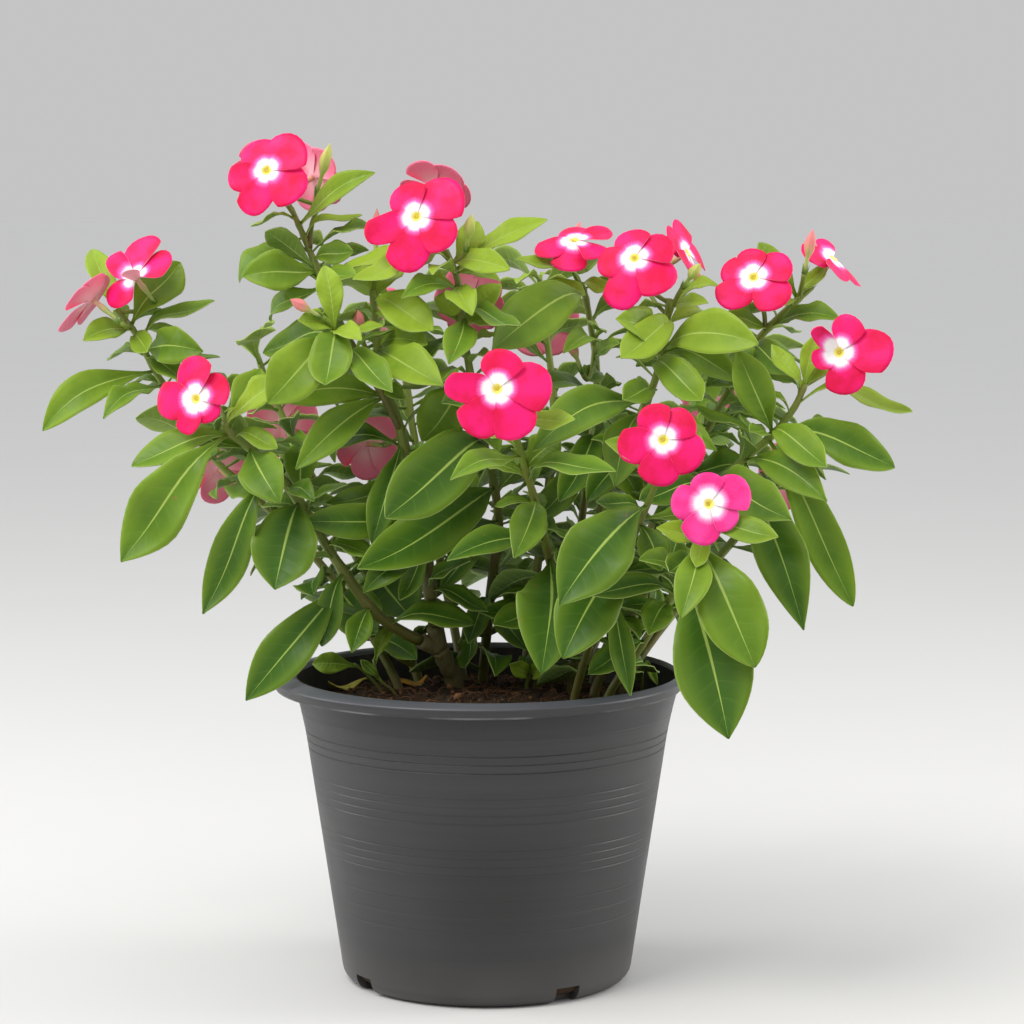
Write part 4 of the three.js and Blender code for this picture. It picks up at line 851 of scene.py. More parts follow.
def add_leaf(mesh, base, tip, width, axes, age, luck, steps=LEAF_STEPS, columns=LEAF_COLUMNS):
    along, across, out = axes
    length = (tip - base).length
    waves, ripple, twist, swing, blunt, curl, tone, ripe = [luck.uniform(*s) for s in LEAF_SPANS]
    swing, curl = swing * length, curl * length
    mesh_map = mesh.loops.layers.uv.verify()
    made = bmesh.ops.create_grid(mesh, x_segments=steps, y_segments=columns, size=1)
    for vert in made["verts"]:
        share, side = 1 - (0.5 - vert.co.x / 2) ** TIP_CROWDING, vert.co.y
        half = max(width * blade_half(share, blunt), (STALK_HALF if share < 0.5 else TIP_HALF) * MM)
        arch = 4 * share * (1 - share)
        rise = LEAF_ARCH * length * arch + LEAF_FOLD * half * abs(side) ** 1.5
        rise += half * side * twist * (share - 0.3) + curl * math.sin(2 * math.pi * share)
        wave = math.sin(RIPPLES * share + waves + side) * math.sin(math.pi * share)
        rise += ripple * half * side ** 2 * wave
        rise -= MIDRIB_DEEP * MM * math.exp(-(half * side / (MIDRIB_HALF * MM)) ** 2)
        for loop in vert.link_loops:
            loop[mesh_map].uv = (share, (side + 1) / 2)
        vert.co = base + along * length * share + across * (half * side + swing * arch) + out * rise
        vert[mesh.verts.layers.float["age"]] = age + ripe * share ** 2 * abs(side)
        vert[mesh.verts.layers.float["tone"]] = tone
    return {face for vert in made["verts"] for face in vert.link_faces}


# %% [markdown]
# ### Leaf green
# The blade's map runs from stalk to tip and from edge to edge, so the midrib is simply its
# middle line, narrowing towards the tip, and the side veins are evenly spaced bands that lean
# forward as they leave it. Old blades are deep and bluish, young ones at the tips of the shoots
# yellow-green, and the underside is paler and dull. Blades low in the crown are painted darker
# for the shade that the crown casts on them, and the edges of each blade are painted paler for
# the light that shines through the thin margin.

# %% Leaf finishes
def leaf_finish(name, deep, middle, young, vein, gloss, vein_show, quilting):
    finish = new_finish(name, Specular_IOR_Level=0.2)
    _, along, across = surface_place()
    place = object_place()
    side = from_middle(across)
    age, tone = mark("age"), mark("tone")
    mottle = speckle(place, 70.0, 4.0)
    fine = speckle(place, 700.0, 3.0)
    height = height_of(place)
    light = plus(age, calc("MULTIPLY_ADD", tone, 0.5, -0.05))
    # painted shade: blades low in the crown are darker and high ones paler, for the crown's shade
    light = plus(light, ease(height, 0.13, 0.38, -0.35, 0.15))
    light = plus(light, calc("MULTIPLY_ADD", mottle, 0.5, -0.25))
    lean = plus(times(side, 1.1), times(mottle, 0.5))
    band = calc("SUBTRACT", times(along, 10.0), lean)
    band = plus(band, calc("GREATER_THAN", across, 0.5, 0.0))
    band = calc("ABSOLUTE", calc("SUBTRACT", calc("FRACT", band), 0.5))
    thin = times(ease(band, 0.1, 0.015), ease(side, 1.0, 0.2))
    rib_width = ease(along, 1.0, 0.0, 0.012, 0.11)
    rib = ease(calc("DIVIDE", side, rib_width), 1.0, 0.35)
    spots = times(ease(speckle(place, 150.0, 2.0), 0.74, 0.78), 0.7)
    colour = layered(
        deep, (ease(light, 0.0, 0.6), middle), (ease(light, 0.5, 1.15), young),
        # painted light: the halves turn paler yellow-green towards the edges, for light through the
        # margin
        (times(ease(side, 0.25, 1.0), 0.3), young), (times(fine, 0.15), deep),
        (calc("MAXIMUM", rib, times(thin, vein_show)), vein),
        # painted light: a paler rim along the very edge, for light shining through the thin margin
        (times(ease(side, 0.93, 1.0), 0.35), vein), (spots, (0.21, 0.14, 0.035)))
    quilt = times(ease(band, 0.0, 0.45), ease(side, 1.0, 0.1))
    paint(colour, plus(quilt, times(fine, 0.3)), quilting, 0.0005)
    feed("Roughness", ease(mottle, 0.3, 0.7, gloss - 0.05, gloss + 0.08))
    return finish


leaf_upper = leaf_finish("leaf_upper", (0.045, 0.115, 0.009), (0.115, 0.215, 0.013),
                         (0.29, 0.42, 0.03), (0.34, 0.46, 0.09), 0.42, 0.05, 0.2)
leaf_under = leaf_finish("leaf_under", (0.11, 0.19, 0.045), (0.18, 0.29, 0.05),
                         (0.32, 0.44, 0.08), (0.42, 0.51, 0.17), 0.58, 0.3, 0.35)

# %% [markdown]
# ### Green stems
# A stem is olive-brown and woody low down and fresh green near its tip, and it thickens a
# little wherever a pair of leaves leaves it. The sweep marks how far along each ring is, and
# that mark drives the colour.

# %% Stem finish
stem_green = new_finish("stem_green", Roughness=0.5, Specular_IOR_Level=0.4)
place = object_place()
grown = mark("age")
streak = speckle(stretched(place, (1, 1, 0.25)), 520.0, 3.0)
blush = ease(speckle(place, 45.0, 2.0), 0.52, 0.7)
colour = layered((0.11, 0.11, 0.018), (ease(grown, 0.1, 0.75), (0.19, 0.27, 0.03)),
                 (times(streak, 0.4), (0.1, 0.085, 0.02)), (times(blush, 0.35), (0.2, 0.12, 0.05)))
paint(colour, streak, 0.4, 0.0005)

# %% Build a shoot with its leaves
STEM_SIDES = 9
STEM_SLIM = 0.85
RINGS_A_POINT = 5
KNEE = 0.22
KNEE_REACH = 0.09


def shoot_rings(name):
    _, radii, path = SHOOTS[name]
    last = len(path) - 1
    first = SEAT_POINT if name in SEATED else 0
    count = RINGS_A_POINT * last
    joints = [row[0] for row in ALL_LEAVES.get(name, [])]
    centres, widths, shares = [], [], []
    for k in range(count + 1):
        at = first + (last - first) * k / count
        near = min((abs(at - joint) for joint in joints), default=1)
        knee = 1 + KNEE * math.exp(-(near / KNEE_REACH) ** 2)
        centres.append(line_point(path, at) * MM)
        widths.append(STEM_SLIM * (radii[0] + (radii[1] - radii[0]) * at / last) * knee * MM)
        shares.append(at / last)
    return centres, widths, shares


def add_shoot(mesh, name):
    centres, widths, shares = shoot_rings(name)
    return sweep(mesh, centres, widths, STEM_SIDES, shares)[1]


def leaf_age(name, at, length):
    path = SHOOTS[name][2]
    height = max(0, at / (len(path) - 1) - 0.45) / 0.55
    return min(1, 0.1 + 0.55 * height ** 2 + 0.6 * max(0, 1 - length / (38 * MM)))


# %% [markdown]
# ## Flowers
# Five petals open flat from the end of a thin tube, each a broad fan with one blunt corner,
# lifted along one edge so that it laps over the next like the sails of a pinwheel. They are
# bent grids as the leaves are, spread as a fan from the throat, and each keeps the direction,
# length, width and lift that the photograph shows for it.

# %% Flowers and buds by shoot
def petal_ring(first, length, width, lifts):
    return [(first + 360 / len(lifts) * k, length, width, lift) for k, lift in enumerate(lifts)]


ROUND = petal_ring(0, 20.5, 20, (4, 0, -6, 0, 6))
SMALL = petal_ring(20, 18.5, 18, (8, 0, -8, 4, 0))
BLOOMS = {
    "bloom_top_left": ("top_left", 4.9, (-108, -6, 405), (-12, 18),
        [(45, 23, 19, 0), (122, 23, 19, 0), (197, 24, 13, 0), (248, 20, 12, 8), (-38, 19, 17, -14)]),
    "bloom_top_fork": ("top_fork", 1.9, (-87, 38, 401), (145, 20), SMALL),
    "bloom_top": ("centre", 8.9, (-34, -32, 383), (-14, 14),
        [(-32, 18, 19, 0), (55, 26, 20, 0), (123, 23, 17, 0), (189, 28, 17, 0), (245, 27, 11, 6)]),
    "bloom_far_left": ("far_left", 5.9, (-173, -8, 353), (-35, 42),
        [(-16, 25, 20, 6), (48, 21, 20, 4), (135, 16, 12, 66), (205, 19, 15, -6), (-72, 18, 11, 34)]),
    "bloom_far_left_low": ("far_left", 5.5, (-195, -4, 342), (-112, 36),
        [(20, 15, 15, 10), (92, 17, 15, 14), (160, 23, 15, 6), (222, 22, 14, 10), (292, 16, 14, 14)]),
    "bloom_left": ("left", 6.9, (-140, -52, 296), (-24, 10),
        [(-8, 21, 16, 4), (60, 18, 17, -8), (128, 14, 12, -8), (190, 18, 9, 8), (262, 22, 15, 0)]),
    "bloom_front": ("front", 4.9, (5, -95, 304), (-8, 8),
        [(8, 19, 20, 4), (84, 26, 20, 0), (148, 26, 20, 0), (207, 25, 19, 0), (270, 25, 11, 8)]),
    "bloom_middle_right": ("middle_right", 5.9, (44, 22, 370), (-4, 62),
        [(0, 17, 16, -8), (65, 20, 16, 4), (126, 20, 17, -6), (185, 21, 19, -22), (248, 21, 12, -10)]),
    "bloom_right_centre": ("right_centre", 6.9, (72, -30, 363), (-12, 34),
        [(-15, 17, 17, 0), (58, 20, 18, -4), (128, 24, 20, -8), (196, 27, 15, -16), (258, 19, 14, -6)]),
    "bloom_right_back": ("right_centre", 6.6, (100, 6, 364), (70, 30), SMALL),
    "bloom_right": ("far_right_spur", 1.9, (131, -16, 353), (-14, 30),
        [(-20, 16, 15, 0), (62, 20, 16, 0), (128, 22, 18, 0), (222, 22, 14, 4), (285, 17, 14, 0)]),
    "bloom_far_right_top": ("far_right", 8.9, (173, 12, 361), (62, 50),
        [(20, 14, 11, 10), (88, 22, 14, -30), (150, 20, 14, -10), (228, 20, 13, 0), (290, 21, 13, -6)]),
    "bloom_far_right": ("right", 7.9, (170, -48, 318), (-20, 8),
        [(15, 19, 15, 4), (85, 27, 17, 0), (160, 21, 17, 0), (242, 14, 9, 20), (-46, 20, 9, 48)]),
    "bloom_front_right": ("front_right", 4.9, (83, -96, 280), (-4, 10),
        [(-25, 18, 15, 0), (42, 18, 15, 0), (117, 21, 18, 0), (184, 22, 17, 0), (256, 22, 14, 0)]),
    "bloom_low_right": ("low_right", 4.9, (104, -107, 251), (6, 14),
        [(-5, 15, 16, 0), (66, 21, 17, 0), (128, 16, 13, 0), (196, 20, 16, 0), (270, 18, 14, 0)]),
    "bloom_top_left_behind": ("top_left", 4.7, (-112, 22, 404), (-150, 30), SMALL),
    "bloom_top_behind": ("centre", 8.6, (-25, 4, 396), (160, 44), SMALL),
    "bloom_centre_behind": ("centre", 7.3, (-8, 12, 340), (168, 6), SMALL),
    "bloom_left_inner": ("tall", 4.4, (-60, 14, 268), (-150, -4), SMALL),
    "bloom_back_left": ("back_left", 3.4, (-110, 142, 268), (-165, 4), ROUND),
    "bloom_back_middle": ("back_middle", 3.9, (-50, 160, 322), (-172, 14), SMALL),
    "bloom_back_tall": ("back_tall", 3.8, (30, 146, 322), (176, 14), ROUND),
    "bloom_back_right": ("back_right", 3.6, (122, 154, 284), (160, 6), ROUND),
    "bloom_side_left": ("side_left", 3.8, (-141, 97, 247), (-147, 11), SMALL),
    "bloom_side_right": ("side_right", 3.6, (158, 92, 244), (140, 8), SMALL),
}
BUDS = {
    "bud_top_fork": ("top_fork", 1.6, (-84, 8, 393), (-77, 2, 418), "bud_green"),
    "bud_rosette": ("rosette", 2.8, (-80, -44, 335), (-94, -54, 344), "bud_pink"),
    "bud_centre": ("centre", 8.6, (-10, -26, 366), (-7, -34, 384), "bud_green"),
    "bud_top": ("tall", 7.9, (-55, -2, 356), (-54, 0, 386), "bud_pink"),
    "bud_middle": ("middle_right", 4.4, (48, 8, 304), (40, 4, 324), "bud_pink"),
    "bud_far_right": ("far_right", 8.3, (157, -4, 354), (161, -6, 376), "bud_pink"),
    "bud_right": ("right_centre", 6.4, (96, -22, 348), (104, -30, 360), "bud_green"),
    "bud_faded": ("tall", 6.7, (-61, -14, 322), (-63, -19, 337), "bud_pink"),
    "bud_back": ("back_tall", 4.6, (42, 128, 354), (50, 132, 376), "bud_pink"),
}
print(len(BLOOMS), "flowers and", len(BUDS), "buds")

# %% Petals
TUBE = 20
THROAT_RADIUS = 0.8
THROAT_DEEP = 1.4
EYE_RADIUS = 2.8
PETAL_SHEET = 0.35
PETAL_TWIST = 0.85
PETAL_STEPS = 11
PETAL_COLUMNS = 12
PETAL_LAP = 7
WIDEST_HALF_ANGLE = 50
FULLNESS = 1.34
SHOULDER = 0.75
SLANT = 0.12
PETAL_WAVE = 0.45
CREASE = 0.5
CREASE_HALF = 0.16
DROOP = (0.2, 1.3)
MAP_REACH = 30


def flower_axes(facing):
    out = facing_way(*facing)
    right = Vector((0, 0, 1)).cross(out).normalized()
    return out, right, out.cross(right).normalized()


def soft_least(first, second):
    return (first ** -8 + second ** -8) ** -0.125


def half_angles(petals, k):
    turns = [petal[0] for petal in petals]
    to_next = (turns[(k + 1) % len(turns)] - turns[k]) % 360
    to_last = (turns[k] - turns[k - 1]) % 360
    return [math.radians(min(WIDEST_HALF_ANGLE, gap / 2 + PETAL_LAP)) for gap in (to_next, to_last)]


def add_petal(mesh, eye, axes, petals, k, luck, tone):
    out, right, up = axes
    turn, length, width, lift = petals[k]
    turn, lift = math.radians(turn), math.radians(lift)
    spreads = half_angles(petals, k)
    ahead = right * math.sin(turn) + up * math.cos(turn)
    side_way = up * math.sin(turn) - right * math.cos(turn)
    waves, droop = luck.uniform(*WAVES), luck.uniform(*DROOP)
    mesh_map = mesh.loops.layers.uv.verify()
    made = bmesh.ops.create_grid(mesh, x_segments=PETAL_STEPS, y_segments=PETAL_COLUMNS, size=1)
    for vert in made["verts"]:
        share, side = (vert.co.x + 1) / 2, math.sin(vert.co.y * math.pi / 2)
        shoulder = SHOULDER - SLANT * side
        edge = length * (shoulder + (1 - shoulder) * max(0, 1 - abs(side) ** 2.6) ** 0.8)
        reach = THROAT_RADIUS + (edge - THROAT_RADIUS) * share
        half = soft_least(reach * math.sin(spreads[side > 0]), FULLNESS * width / 2)
        angle = side * math.asin(half / reach)
        flat = max(0, reach - EYE_RADIUS)
        rise = flat * math.sin(lift) - PETAL_TWIST * side * min(1, 2 * share)
        rise += PETAL_WAVE * share ** 2 * math.sin(3.2 * side + waves) - droop * share ** 3
        rise -= CREASE * math.exp(-(side / CREASE_HALF) ** 2) * share * (1 - share)
        throat = 1 - (reach - THROAT_RADIUS) / (EYE_RADIUS - THROAT_RADIUS)
        rise -= THROAT_DEEP * max(0, throat) ** 1.5
        reach = reach - flat * (1 - math.cos(lift))
        spot = ahead * reach * math.cos(angle) + side_way * reach * math.sin(angle) + out * rise
        for loop in vert.link_loops:
            loop[mesh_map].uv = (reach / MAP_REACH, (side + 1) / 2)
        vert.co = eye + spot * MM
        vert[mesh.verts.layers.float["tone"]] = tone
    return {face for vert in made["verts"] for face in vert.link_faces}


# %% [markdown]
# ### Petal colour
# A yellow throat sits in a white star with feathered edges, the star runs a little way out
# along the middle of each petal, and a magenta flush joins it to the hot pink. At the very
# middle of the throat a dark olive is painted shade in the mouth of the tube. The petal's map
# holds the real distance from the flower's middle, so the star is the same size on every
# flower whatever its petals do, but a little wider on some flowers than on others. Fine lines
# fan outwards, and the underside is a paler, softer pink, lightened further with painted light
# for the light that shines through the thin petal.

# %% Petal finishes
def petal_finish(name, lit, deep, flush, star):
    finish = new_finish(name, Specular_IOR_Level=0.25)
    coordinate, reach, across = surface_place()
    place = object_place()
    reach = times(reach, float(MAP_REACH))
    lines = speckle(stretched(coordinate, (5, 60, 1)), 1.0, 3.0)
    mottle = speckle(place, 90.0, 3.0)
    satin = layered(lit, (ease(mottle, 0.35, 0.7), deep),
                    (times(ease(across, 0.4, 0.0), 0.55), deep), (times(lines, 0.3), deep))
    edge = ease(from_middle(across), 1.0, 0.3, star - 1.0, star)
    edge = plus(edge, times(mark("tone"), 1.6))
    ragged = calc("MULTIPLY_ADD", lines, 2.6, -1.3)
    beyond = calc("SUBTRACT", plus(reach, ragged), edge)
    colour = layered(
        flush, (ease(beyond, 0.3, 3.4), satin), (ease(beyond, 1.2, -0.9), (0.96, 0.93, 0.94)),
        # painted shade: the very middle of the throat turns dark olive, for the mouth of the tube
        (ease(reach, 3.1, 2.0), (0.96, 0.84, 0.2)), (ease(reach, 1.0, 0.6), (0.62, 0.52, 0.05)))
    paint(colour, plus(lines, mottle), 0.3, 0.0004)
    feed("Roughness", ease(mottle, 0.3, 0.7, 0.45, 0.6))
    return finish


petal_pink = petal_finish("petal_pink", (0.96, 0.008, 0.19), (0.72, 0.002, 0.06),
                          (0.97, 0.13, 0.5), 6.2)
petal_magenta = petal_finish("petal_magenta", (0.96, 0.07, 0.38), (0.84, 0.02, 0.21),
                             (0.98, 0.3, 0.64), 6.2)


def petal_back_finish(name, pale, warm):
    finish = new_finish(name, Roughness=0.6, Specular_IOR_Level=0.2)
    coordinate, reach, _ = surface_place()
    lines = speckle(stretched(coordinate, (5, 50, 1)), 1.0, 3.0)
    colour = layered(pale, (ease(reach, 0.12, 0.5), warm), (times(lines, 0.5), pale))
    paint(colour, lines, 0.3, 0.0004)
    return finish


# the backs' pale pink: partly their own colour, partly painted light shining through the thin petal
petal_back = petal_back_finish("petal_back", (0.94, 0.42, 0.5), (0.9, 0.12, 0.27))
magenta_back = petal_back_finish("petal_back_magenta", (0.94, 0.55, 0.62), (0.92, 0.25, 0.5))

# %% [markdown]
# ### Tube, calyx and bud
# Behind the petals a thin tube runs back to the stalk, yellow-green with a pink flush, swollen
# just under the flower, and five small pointed sepals hold its foot. A bud is the same tube
# with its petals still rolled: a spindle whose five ridges wind round it.

# %% Tube and bud finishes
def flush_finish(name, foot, head, start, end):
    finish = new_finish(name, Roughness=0.5, Specular_IOR_Level=0.35)
    place = object_place()
    streak = speckle(stretched(place, (1, 1, 0.3)), 600.0, 3.0)
    share = plus(mark("age"), calc("MULTIPLY_ADD", streak, 0.3, -0.15))
    colour = layered(foot, (ease(share, start, end), head), (times(streak, 0.25), foot))
    paint(colour, streak, 0.3, 0.0004)
    return finish


tube_finish = flush_finish("flower_tube", (0.33, 0.42, 0.11), (0.72, 0.36, 0.28), 0.3, 1.0)
bud_pink = flush_finish("bud_pink", (0.42, 0.46, 0.14), (0.83, 0.2, 0.24), 0.35, 0.75)
bud_green = flush_finish("bud_green", (0.3, 0.42, 0.08), (0.56, 0.56, 0.14), 0.3, 0.9)
sepal_green = flush_finish("sepal_green", (0.14, 0.26, 0.04), (0.25, 0.4, 0.07), 0.0, 1.0)

# %% Stalks, tubes, sepals and buds
STALK_RADIUS = 1.1
CALYX_RADIUS = 1.4
STALK_BEND = 0.4
STALK_AGE = 0.8
STALK_STEPS = 8
SEPAL_LENGTH = 4.5
TUBE_WIDTHS = (1.45, 1.3, 1.35, 1.65, 1.5, 1.2, 1.05, 1.0, 1.0, 1.1)
BUD_STEPS = 22
BUD_RIDGE = 0.17


def add_stalk(mesh, start, foot, way):
    reach = (foot - start).length
    before = foot - way * max(2 * MM, reach * STALK_BEND)
    centres, widths = [], []
    for k in range(STALK_STEPS + 1):
        share = k / STALK_STEPS
        centres.append(start * (1 - share) ** 2 + before * 2 * share * (1 - share) + foot * share ** 2)
        widths.append((STALK_RADIUS + (CALYX_RADIUS - STALK_RADIUS) * share ** 3) * MM)
    return sweep(mesh, centres, widths, 8, [STALK_AGE] * len(centres))[1]


def add_sepals(mesh, foot, way, luck):
    faces_before = set(mesh.faces)
    turn = Vector((0, 0, 1)).rotation_difference(way).to_matrix().to_4x4()
    for k in range(5):
        angle = math.radians(72 * k + luck.uniform(-8, 8))
        long = SEPAL_LENGTH * luck.uniform(0.8, 1.15)
        flat = Matrix.Diagonal((0.5, 1, 1, 1))
        lean = Matrix.Rotation(math.radians(luck.uniform(8, 20)), 4, "Y")
        place = Matrix.Translation((CALYX_RADIUS * 0.8, 0, 0)) @ lean
        place = place @ Matrix.Translation((0, 0, long / 2)) @ flat
        stand = Matrix.Translation(foot) @ turn @ Matrix.Rotation(angle, 4, "Z")
        place = stand @ Matrix.Scale(MM, 4) @ place
        bmesh.ops.create_cone(mesh, cap_ends=True, segments=6, radius1=0.9, radius2=0.1, depth=long,
                              matrix=place)
    return [face for face in mesh.faces if face not in faces_before]


def add_flower_tube(mesh, eye, way):
    shares = [k / (len(TUBE_WIDTHS) - 1) for k in range(len(TUBE_WIDTHS))]
    centres = [eye - way * (THROAT_DEEP + (TUBE - THROAT_DEEP) * share) * MM for share in shares]
    widths = [width * MM for width in TUBE_WIDTHS]
    return sweep(mesh, centres, widths, 10, [1 - share for share in shares])[1]


def bud_half(share):
    tube = 1.0 + 0.15 * share
    head = 1.45 * math.sin(math.pi * min(1, max(0, (share - 0.38) / 0.62)) ** 0.8) ** 1.3
    point = min(1, (1 - share) / 0.2) ** 0.7
    return max(0.12, (tube * point + head))


def add_bud(mesh, foot, tip):
    shares = [k / BUD_STEPS for k in range(BUD_STEPS + 1)]
    centres = [foot.lerp(tip, share) for share in shares]
    rings, _ = sweep(mesh, centres, [bud_half(share) * MM for share in shares], 20, shares)
    for ring, centre, share in zip(rings, centres, shares):
        ridge = BUD_RIDGE * min(1, max(0, share - 0.35) * 4)
        for i, vert in enumerate(ring):
            angle = 2 * math.pi * i / len(ring)
            vert.co = centre + (vert.co - centre) * (1 + ridge * math.cos(5 * angle + 7 * share))


# %% [markdown]
# ## Leaves inside the crown
# Behind the leaves that can be told apart, the crown is full of others that show only as dark
# green. They follow the same rule of opposite pairs. Each candidate is tried as a flat patch
# against the patches of all stems and leaves before it and the free air before each flower, and
# is kept only where it meets none of them, stays near its neighbours and hides no flower and
# little of a listed leaf. A few are aimed at the backs of the hidden side's flowers, which
# leaves cover in the photograph too.

# %% Patches to try leaves against
BLADE_SHARES = (0.14, 0.35, 0.6, 0.8, 1)
STEM_TRIES = 4
CLEARANCE = 1.6
FREE_AIR = 60
FREE_RADIUS = 24
PETAL_DEPTH = 5
TUBE_CLEAR = 5


def blade_patch(base, tip, width, facing):
    along, across, out = leaf_axes(base, tip, facing)
    length = (tip - base).length
    points = []
    for share in BLADE_SHARES:
        centre = base + (tip - base) * share + out * LEAF_ARCH * length * 4 * share * (1 - share)
        half = max(1, width * blade_half(share, BLUNT[0]))
        points += [centre - across * half, centre + across * half]
    return points, out


def strip_faces(first, count):
    return [(first + k, first + k + 1, first + k + 3, first + k + 2) for k in range(0, count - 2, 2)]


class Crowd:
    def __init__(self):
        self.points, self.faces = [], []

    def add(self, points):
        self.faces += strip_faces(len(self.points), len(points))
        self.points += points
        self.tree = bvhtree.BVHTree.FromPolygons(self.points, self.faces)

    def meets(self, points, out):
        for shift in (-CLEARANCE, CLEARANCE):
            moved = [point + out * shift for point in points]
            patch = bvhtree.BVHTree.FromPolygons(moved, strip_faces(0, len(moved)))
            if self.tree.overlap(patch):
                return True
        return False


def near_a_flower(points):
    for _, _, eye, facing, _ in BLOOMS.values():
        out, eye = facing_way(*facing), Vector(eye)
        for point in points:
            ahead = (point - eye).dot(out)
            beside = (point - eye - out * ahead).length
            in_front = -PETAL_DEPTH < ahead < FREE_AIR and beside < FREE_RADIUS
            if in_front or (-TUBE < ahead < 0 and beside < TUBE_CLEAR):
                return True
    return False


crowd, listed = Crowd(), Crowd()
for name, rows in ALL_LEAVES.items():
    for at, x, y, z, width, facing in rows:
        points, _ = blade_patch(line_point(SHOOTS[name][2], at), Vector((x, y, z)), width, facing)
        crowd.add(points)
        listed.add(points)
for _, radii, path in SHOOTS.values():
    for way in (Vector((radii[0], 0, 0)), Vector((0, radii[0], 0))):
        steps = STEM_TRIES * (len(path) - 1)
        centres = [line_point(path, k / STEM_TRIES) for k in range(steps + 1)]
        crowd.add([centre + way * side for centre in centres for side in (-1, 1)])
print("patches:", len(crowd.faces))

# %% Fill the crown
VIEWER = Vector((0, -EYE_DISTANCE, EYE_HEIGHT)) / MM
INNER_GAP = 9
INNER_FIRST = 30
INNER_TRIES = 6
INNER_LENGTHS = (46, 24)
INNER_REACH = 22
INNER_STEPS = 10
INNER_COLUMNS = 6
HIDING = 160
HIDDEN_POINTS = 2
INNER_SEED = 77
POT_CLEAR = 4
COVER_TURNED = 120
COVER_BELOW = 345
COVER_AHEAD = 34
COVER_SPREAD = 20
COVER_LEAST = 24
COVER_MOST = 62
COVER_WIDTH = 0.42


def spots_along(path):
    spots, walked, last = [], 0, line_point(path, 0)
    for k in range(1, 40 * (len(path) - 1)):
        point = line_point(path, k / 40)
        walked += (point - last).length
        last = point
        if walked > INNER_FIRST + INNER_GAP * len(spots):
            spots.append(k / 40)
    return spots


def hides_something(points):
    in_front = 0
    for point in points:
        away = (point - VIEWER).normalized()
        is_seen = crowd.tree.ray_cast(point - away, -away, HIDING)[0] is None
        in_front += is_seen and listed.tree.ray_cast(point + away, away, HIDING)[0] is not None
        for _, _, eye, facing, _ in BLOOMS.values():
            beyond = (Vector(eye) - point).dot(away)
            beside = (point + away * beyond - Vector(eye)).length
            if abs(facing[0]) < 90 and beyond > 0 and beside < FREE_RADIUS:
                return True
    return in_front > HIDDEN_POINTS


def meets_the_pot(points):
    for point in points:
        over_lip = math.hypot(point.x, point.y) > MOUTH_RADIUS - 2 * POT_CLEAR
        if point.z < SOIL_TOP or (over_lip and point.z < POT_HEIGHT + POT_CLEAR):
            return True
    return False


def place_leaf(base, tip, width):
    points, out = blade_patch(base, tip, width, FILL_FACING)
    lost = listed.tree.find_nearest(tip)[3] > INNER_REACH
    if lost or meets_the_pot(points) or near_a_flower(points):
        return None
    if hides_something(points) or crowd.meets(points, out):
        return None
    crowd.add(points)
    return tip, width


def try_leaf(base, share, turn):
    length = INNER_LENGTHS[0] + (INNER_LENGTHS[1] - INNER_LENGTHS[0]) * share
    length *= draw.uniform(0.7, 1.15)
    way = facing_way(turn + draw.uniform(-40, 40), draw.uniform(-35, 30) + 20 * share)
    return place_leaf(base, base + way * length, length * draw.uniform(0.36, 0.46))


draw = random.Random(INNER_SEED)
INNER = {name: [] for name, (node, _, _) in SHOOTS.items() if node.startswith("stem")}
covers = 0
for _, _, eye, facing, _ in BLOOMS.values():
    if abs(facing[0]) < COVER_TURNED or eye[2] > COVER_BELOW:
        continue
    ahead = (VIEWER - Vector(eye)).normalized()
    for name in INNER:
        for at in spots_along(SHOOTS[name][2]):
            base = line_point(SHOOTS[name][2], at)
            off = Vector([draw.uniform(-1, 1) for _ in "xyz"])
            tip = Vector(eye) + ahead * COVER_AHEAD + COVER_SPREAD * off
            reach = (tip - base).length
            found = COVER_LEAST < reach < COVER_MOST and place_leaf(base, tip, reach * COVER_WIDTH)
            if found:
                INNER[name].append((at, *found))
                covers += 1
print("leaves over the backs of flowers:", covers)
for name, rows in INNER.items():
    path = SHOOTS[name][2]
    turn = draw.uniform(0, 180)
    for at in spots_along(path):
        share = at / (len(path) - 1)
        base = line_point(path, at)
        for side in (0, 180):
            tries = (try_leaf(base, share, turn + side) for _ in range(INNER_TRIES))
            found = next((leaf for leaf in tries if leaf), None)
            if found:
                rows.append((at, *found))
        turn += 90
print("leaves inside the crown:", sum(len(rows) for rows in INNER.values()))

# %% [markdown]
# ## Growing the plant
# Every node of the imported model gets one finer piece. A stem piece gathers its shoots, the
# stalks of the flowers on them and its leaves, the blades are solidified together, and what
# the solidify adds is the underside.

# %% Grow the leafy stems
def new_plant_mesh():
    mesh = bmesh.new()
    mesh.loops.layers.uv.verify()
    mesh.verts.layers.float.new("age")
    mesh.verts.layers.float.new("tone")
    return mesh


def close_sheets(mesh, faces, thickness, under_index):
    faces_before = set(mesh.faces)
    mesh.normal_update()
    bmesh.ops.solidify(mesh, geom=list(faces), thickness=thickness * MM)
    for face in mesh.faces:
        if face not in faces_before:
            face.material_index = under_index


def stalks_of(name):
    for shoot, at, eye, facing, _ in BLOOMS.values():
        if shoot == name:
            way = facing_way(*facing)
            yield at, Vector(eye) * MM - way * TUBE * MM, way
    for shoot, at, foot, tip, _ in BUDS.values():
        if shoot == name:
            yield at, Vector(foot) * MM, (Vector(tip) - Vector(foot)).normalized()


